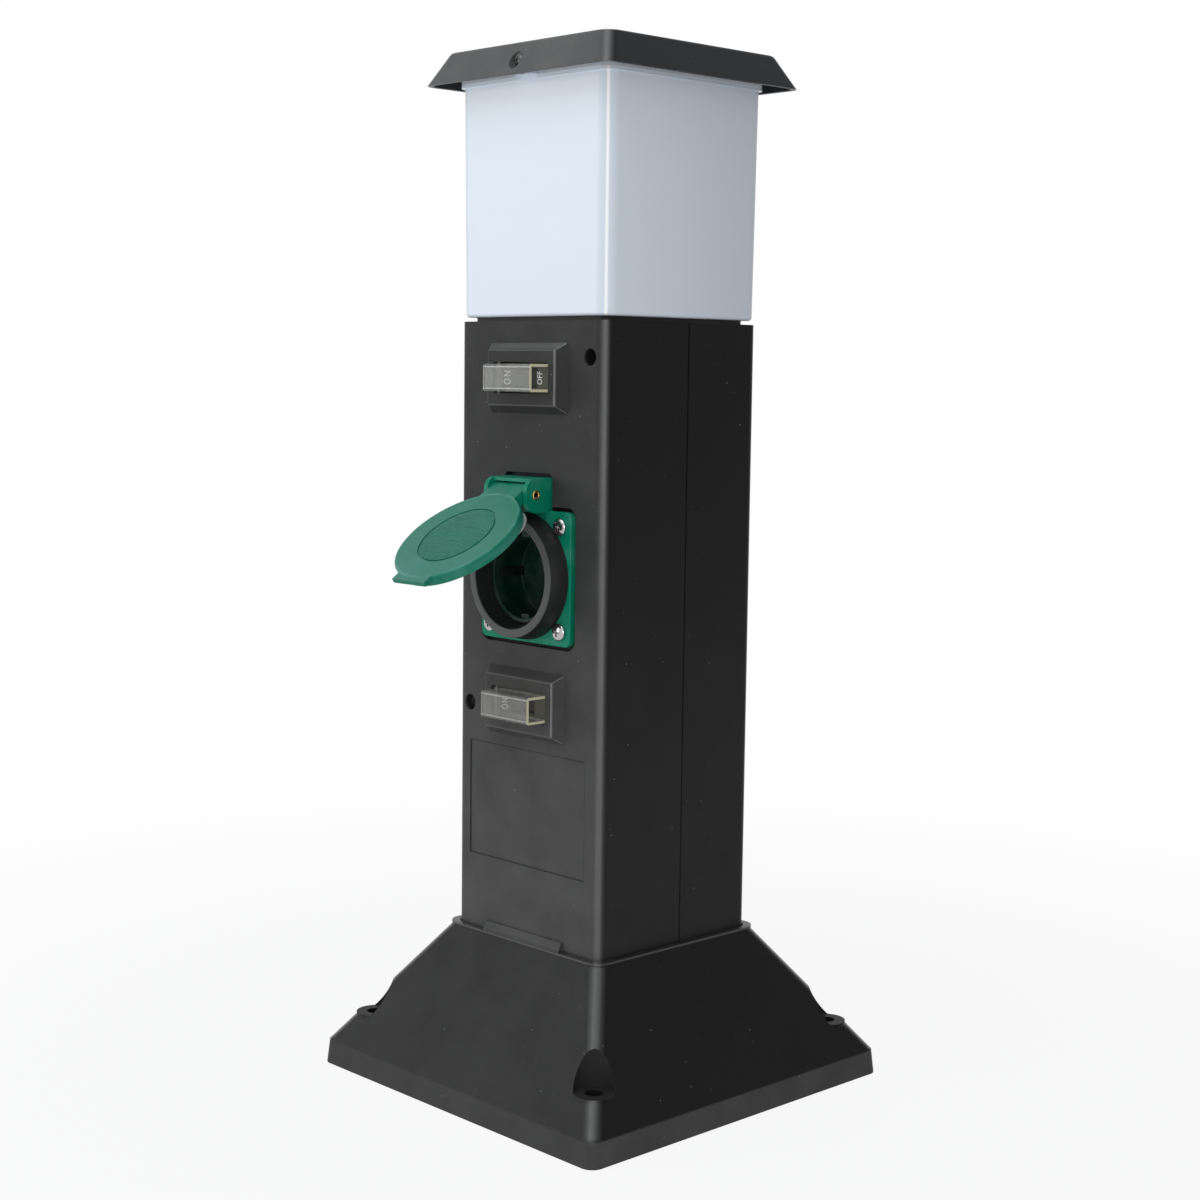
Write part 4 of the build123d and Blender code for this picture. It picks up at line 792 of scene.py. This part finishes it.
def well():
    """Round well with a rounded rim, a floor with pin holes, keys and earth slots, and a rear post."""
    inner, outer, floor, back = 19.75 * mm, 21.8 * mm, 17.3 * mm, 20.3 * mm
    ring, ring_front, ring_back = 24.6 * mm, 5.0 * mm, 8.0 * mm
    post, post_end = 3.0 * mm, 34.8 * mm
    rim, corner = 0.5 * mm, 0.8 * mm
    pin_offset, pin_radius, pin_middle, pin_length = 9.5 * mm, 2.8 * mm, 19 * mm, 8 * mm
    slot_x, slot_front, slot_size = 18.9 * mm, 16 * mm, Vector((1.2, 6.0, 4.4)) * mm
    key_near, key_far, key_half = 17.75 * mm, 20.4 * mm, 2.7 * mm
    key_front, key_back = 2 * mm, 17.6 * mm
    profile = [(0.0, floor)] + arc((inner - corner, floor - corner), corner, 90, 0)
    profile += arc((inner + rim, rim), rim, 180, 270) + arc((outer - rim, rim), rim, 270, 360)
    profile += [(outer, ring_front), (ring, ring_front), (ring, ring_back), (outer, ring_back),
                (outer, back), (post, back), (post, post_end), (0.0, post_end)]
    piece = turned("socket_well", profile, 128)
    face_to(piece, (0, well_rim_y, socket_z), (0, 1, 0))
    for side in (-1, 1):
        pin = (0, well_rim_y + pin_middle, socket_z + side * pin_offset)
        combine(piece, rod("hole", pin, "y", pin_length, pin_radius), "DIFFERENCE")
        low = Vector((side * slot_x - slot_size.x / 2, well_rim_y + slot_front, socket_z - slot_size.z / 2))
        combine(piece, cube("slot", low, low + slot_size), "DIFFERENCE")
        ends = sorted((socket_z + side * key_near, socket_z + side * key_far))
        key = cube("key", (-key_half, well_rim_y + key_front, ends[0]),
                   (key_half, well_rim_y + key_back, ends[1]))
        bevel(key, 0.4 * mm, 2, 50)
        combine(piece, key)
    return smooth(piece)


def hinge_tube():
    """Hollow brass pin with rounded rims."""
    outer, bore, reach, rim = 2.2 * mm, 1.1 * mm, 14.95 * mm, 0.15 * mm
    profile = [(bore, -reach + rim), (bore + rim, -reach), (outer - rim, -reach), (outer, -reach + rim),
               (outer, reach - rim), (outer - rim, reach), (bore + rim, reach), (bore, reach - rim),
               (bore, -reach + rim)]
    piece = turned("hinge_tube", profile, 48)
    return smooth(face_to(piece, hinge_place, (1, 0, 0)), 50)


def seal_ring():
    """Pale ring inside the lid, with two low ribs."""
    thick, low, lowest = 0.5 * mm, 0.3 * mm, 0.15 * mm
    inner, outer = 20.5 * mm, 28.5 * mm
    profile = [(inner, 0.0), (outer, 0.0), (outer, low), (28.3 * mm, thick), (27.5 * mm, thick),
               (27.2 * mm, low), (24.4 * mm, low), (24.1 * mm, thick), (22.9 * mm, thick),
               (22.6 * mm, low), (20.8 * mm, low), (inner, lowest), (inner, 0.0)]
    piece = turned("seal_ring", profile, 128)
    return face_to(piece, (0, lid_inner_y, socket_z), (0, 1, 0))


def seal_flap(name, side):
    """Thin crescent of the seal that shows beside the hinge, under the lid's rim."""
    reach, radius, thick, angle = 15.6 * mm, 16.0 * mm, 0.8 * mm, radians(42)
    rim_inner, ear, cut_length = 29.2 * mm, 15.2 * mm, 10 * mm
    middle = (side * reach * cos(angle), lid_rim_y + thick / 2, socket_z + reach * sin(angle))
    piece = rod(name, middle, "y", thick, radius, 96)
    combine(piece, rod("inner", (0, lid_rim_y, socket_z), "y", cut_length, rim_inner, 128), "DIFFERENCE")
    by_hinge = cube("by_hinge", (-ear, -100 * mm, 0), (ear, 0, 400 * mm))
    combine(piece, by_hinge, "DIFFERENCE")
    bevel(piece, 0.2 * mm, 2, 50)
    return piece


def seal():
    """The whole pale seal, open with the lid."""
    pieces = [seal_ring(), seal_flap("flap_right", 1), seal_flap("flap_left", -1)]
    closed = joined(pieces, "lid_gasket")
    return smooth(carry(closed, hinge_place, lid_turn @ Matrix.Translation(-hinge_place)))


place_piece(rounded_copy("socket_flange", "socket_plate", 0.25 * mm), "bollard", "green_plastic",
            "socket_flange")
# The well takes the darker green, painted to stand for the shade inside it.
place_piece(well(), "bollard", "dark_green_plastic", "socket_insert")
place_piece(rounded_copy("socket_lid", "lid", 0.5 * mm), "lid", "green_plastic", "socket_lid",
            finish="lid_plastic")
place_piece(collar(), "bollard", "black_rubber", "socket_collar", finish="collar_rubber")
place_piece(hinge_tube(), "bollard", "brass", "hinge_pin")
place_piece(seal(), "lid", "pale_rubber", "lid_seal")
flange_points = [Vector((x * flange_screw_offset, flange_front, socket_z + z * flange_screw_offset))
                 for x in (-1, 1) for z in (-1, 1)]
place_piece(screws("flange_screw_set", flange_screw_shape, flange_points, (0, -1, 0)),
            "bollard", "steel", "flange_screws", finish="chrome")


# Breakers

def swung(piece, height):
    """Carries a piece made about a lever's pivot to its breaker, leaning to ON."""
    return carry(piece, Vector((0, lever_pivot_y, height)), Matrix.Rotation(-lever_lean, 4, "Z"))


def lever(name, height):
    """Lever with a tapering rounded blade and a bored hub, leaning to ON."""
    hub_radius, bore_radius, bore_length = 3.2 * mm, 1.06 * mm, 9 * mm
    blade = cube(name, (-lever_half, -lever_reach, -lever_half_height), (lever_half, 0, lever_half_height))
    with editing(blade):
        pick(blade, "FACE", lambda face: face.normal.y < -0.9)
        bpy.ops.transform.resize(value=(lever_tip_half / lever_half, 1, 1))
    bevel(blade, 0.5 * mm, 3, 50)
    combine(blade, rod("hub", (0, 0, 0), "z", 2 * lever_half_height, hub_radius))
    combine(blade, rod("bore", (0, 0, 0), "z", bore_length, bore_radius), "DIFFERENCE")
    return smooth(swung(blade, height))


def lever_print(name, length, height):
    """The word ON on the side of a lever's blade."""
    slope = (lever_half - lever_tip_half) / lever_reach
    place = Vector((lever_half - slope * on_from_pivot, -on_from_pivot, 0))
    return swung(lettering(name, "ON", length, on_height, place, (1, -slope, 0), on_spacing), height)


def hood(name, height):
    """Clear cover, open at its back and right end, with its hinge barrel at the left."""
    wall, rounding = 1.2 * mm, 1.0 * mm
    arm_half, arm_front, arm_back = 5.2 * mm, 0.9 * mm, 0.6 * mm
    barrel_radius, barrel_length = 1.3 * mm, 12.5 * mm
    bore_radius, bore_length = 0.66 * mm, 14 * mm
    rise = Vector((0, 0, height))
    half_way = (hood_low.y + hood_high.y) / 2
    piece = cube(name, hood_low + rise, hood_high + rise)
    with editing(piece):
        pick(piece, "EDGE", lambda edge: all(vert.co.x < 0 for vert in edge.verts)
             or all(vert.co.y < half_way for vert in edge.verts)
             and abs(edge.verts[0].co.x - edge.verts[1].co.x) > mm)
        bpy.ops.mesh.bevel(offset=rounding, segments=4, affect="EDGES", clamp_overlap=True)
        pick(piece, "FACE", lambda face: face.normal.y > 0.9 or face.normal.x > 0.9)
        bpy.ops.mesh.delete(type="FACE")
    apply_modifier(piece, "SOLIDIFY", thickness=wall, offset=-1, use_even_offset=True)
    hinge_x, hinge_y = hood_hinge
    combine(piece, cube("arm", (hinge_x, hinge_y - arm_front, height - arm_half),
                        (hood_low.x + wall / 2, hinge_y + arm_back, height + arm_half)))
    combine(piece, rod("barrel", (hinge_x, hinge_y, height), "z", barrel_length, barrel_radius, 32))
    combine(piece, rod("bore", (hinge_x, hinge_y, height), "z", bore_length, bore_radius, 24), "DIFFERENCE")
    return smooth(piece)


for side, height in switch_heights.items():
    place_piece(rounded_copy(side + "_breaker_plate", side + "_face", 0.15 * mm, 2), "bollard",
                "dark_plastic", side + "_breaker_plate")
    place_piece(lever(side + "_toggle", height), side + "_lever", "white_plastic", side + "_lever")
    place_piece(lever_print(side + "_on", on_length[side], height), side + "_lever", "white_plastic",
                finish="white_print")
    place_piece(hood(side + "_cover", height), side + "_hood", "clear_plastic", side + "_hood")

off_place = Vector((off_x, plate_front, switch_heights["upper"]))
place_piece(lettering("upper_off", "OFF", off_length, off_height, off_place, (0, -1, 0)), "bollard",
            "white_plastic", finish="white_print")


# Materials of the solids that stay as they are

slots = {entry["node"]: entry["material_slot"] for entry in frame["record"]["subparts"]}
slots["roof_gasket"] = "white_foam"
slots["socket_contacts"] = "dull_brass"
for node in ("column_screws", "roof_screws", "earth_strap", "upper_hood_pin", "lower_hood_pin",
             "upper_lever_pin", "lower_lever_pin", "upper_breaker_screws", "lower_breaker_screws"):
    slots[node] = "dark_steel"
for node, thing in frame["nodes"].items():
    thing.data.materials.clear()
    thing.data.materials.append(finishes[slots[node]])


# Studio

def studio_floor():
    """Pale floor that keeps the shadow near the object and is white further out."""
    bpy.ops.object.select_all(action="DESELECT")
    bpy.ops.mesh.primitive_plane_add(size=16)
    floor = bpy.context.object
    floor.name = "floor"
    paint = Paint("floor", (0.86, 0.86, 0.86), 0.9, Specular_IOR_Level=0.0)
    glow = paint.node("ShaderNodeEmission", None, {"Color": (1, 1, 1), "Strength": 1.0})
    distance = paint.vector_maths("LENGTH", paint.place, output="Value")
    share = paint.seen() * (0.88 + 0.12 * distance.between(0.2, 0.8))
    paint.show(paint.mix(share, paint.surface, glow))
    floor.data.materials.append(paint.material)


def studio_world(level):
    """White to the camera and in reflections, and an even soft light for everything else."""
    world = bpy.data.worlds.new("studio")
    bpy.context.scene.world = world
    world.use_nodes = True
    sky = Graph(world.node_tree, "ShaderNodeOutputWorld")
    soft = sky.node("ShaderNodeBackground", None, {"Color": (0.96, 0.98, 1), "Strength": level})
    white = sky.node("ShaderNodeBackground", None, {"Color": (1, 1, 1), "Strength": 1.0})
    sky.show(sky.mix(sky.seen(), soft, white))


def soft_box(name, place, target, size, power, colour=(1, 1, 1)):
    """Soft lamp aimed at a point, with its width and height."""
    data = bpy.data.lights.new(name, "AREA")
    data.color = colour
    data.shape = "RECTANGLE"
    data.size, data.size_y = size
    data.energy = power
    lamp = bpy.data.objects.new(name, data)
    bpy.context.scene.collection.objects.link(lamp)
    aim = (Vector(target) - Vector(place)).to_track_quat("-Z", "Y")
    lamp.matrix_world = Matrix.Translation(place) @ aim.to_matrix().to_4x4()


studio_floor()
studio_world(0.37)
soft_box("key", (-1.30, -1.30, 0.50), (0, 0, 0.25), (1.3, 0.8), 7.8)
soft_box("top", (0.1, -0.9, 1.5), (0, 0, 0.3), (0.9, 0.9), 6, (0.86, 0.94, 1.0))
soft_box("corner", (1.08, -1.03, 0.40), (0, 0, 0.25), (0.16, 0.8), 5)
soft_box("rim", (-1.5, 0.35, 1.45), (0, -0.09, 0.27), (0.9, 0.9), 1.5)
bpy.context.scene.view_settings.view_transform = "Standard"
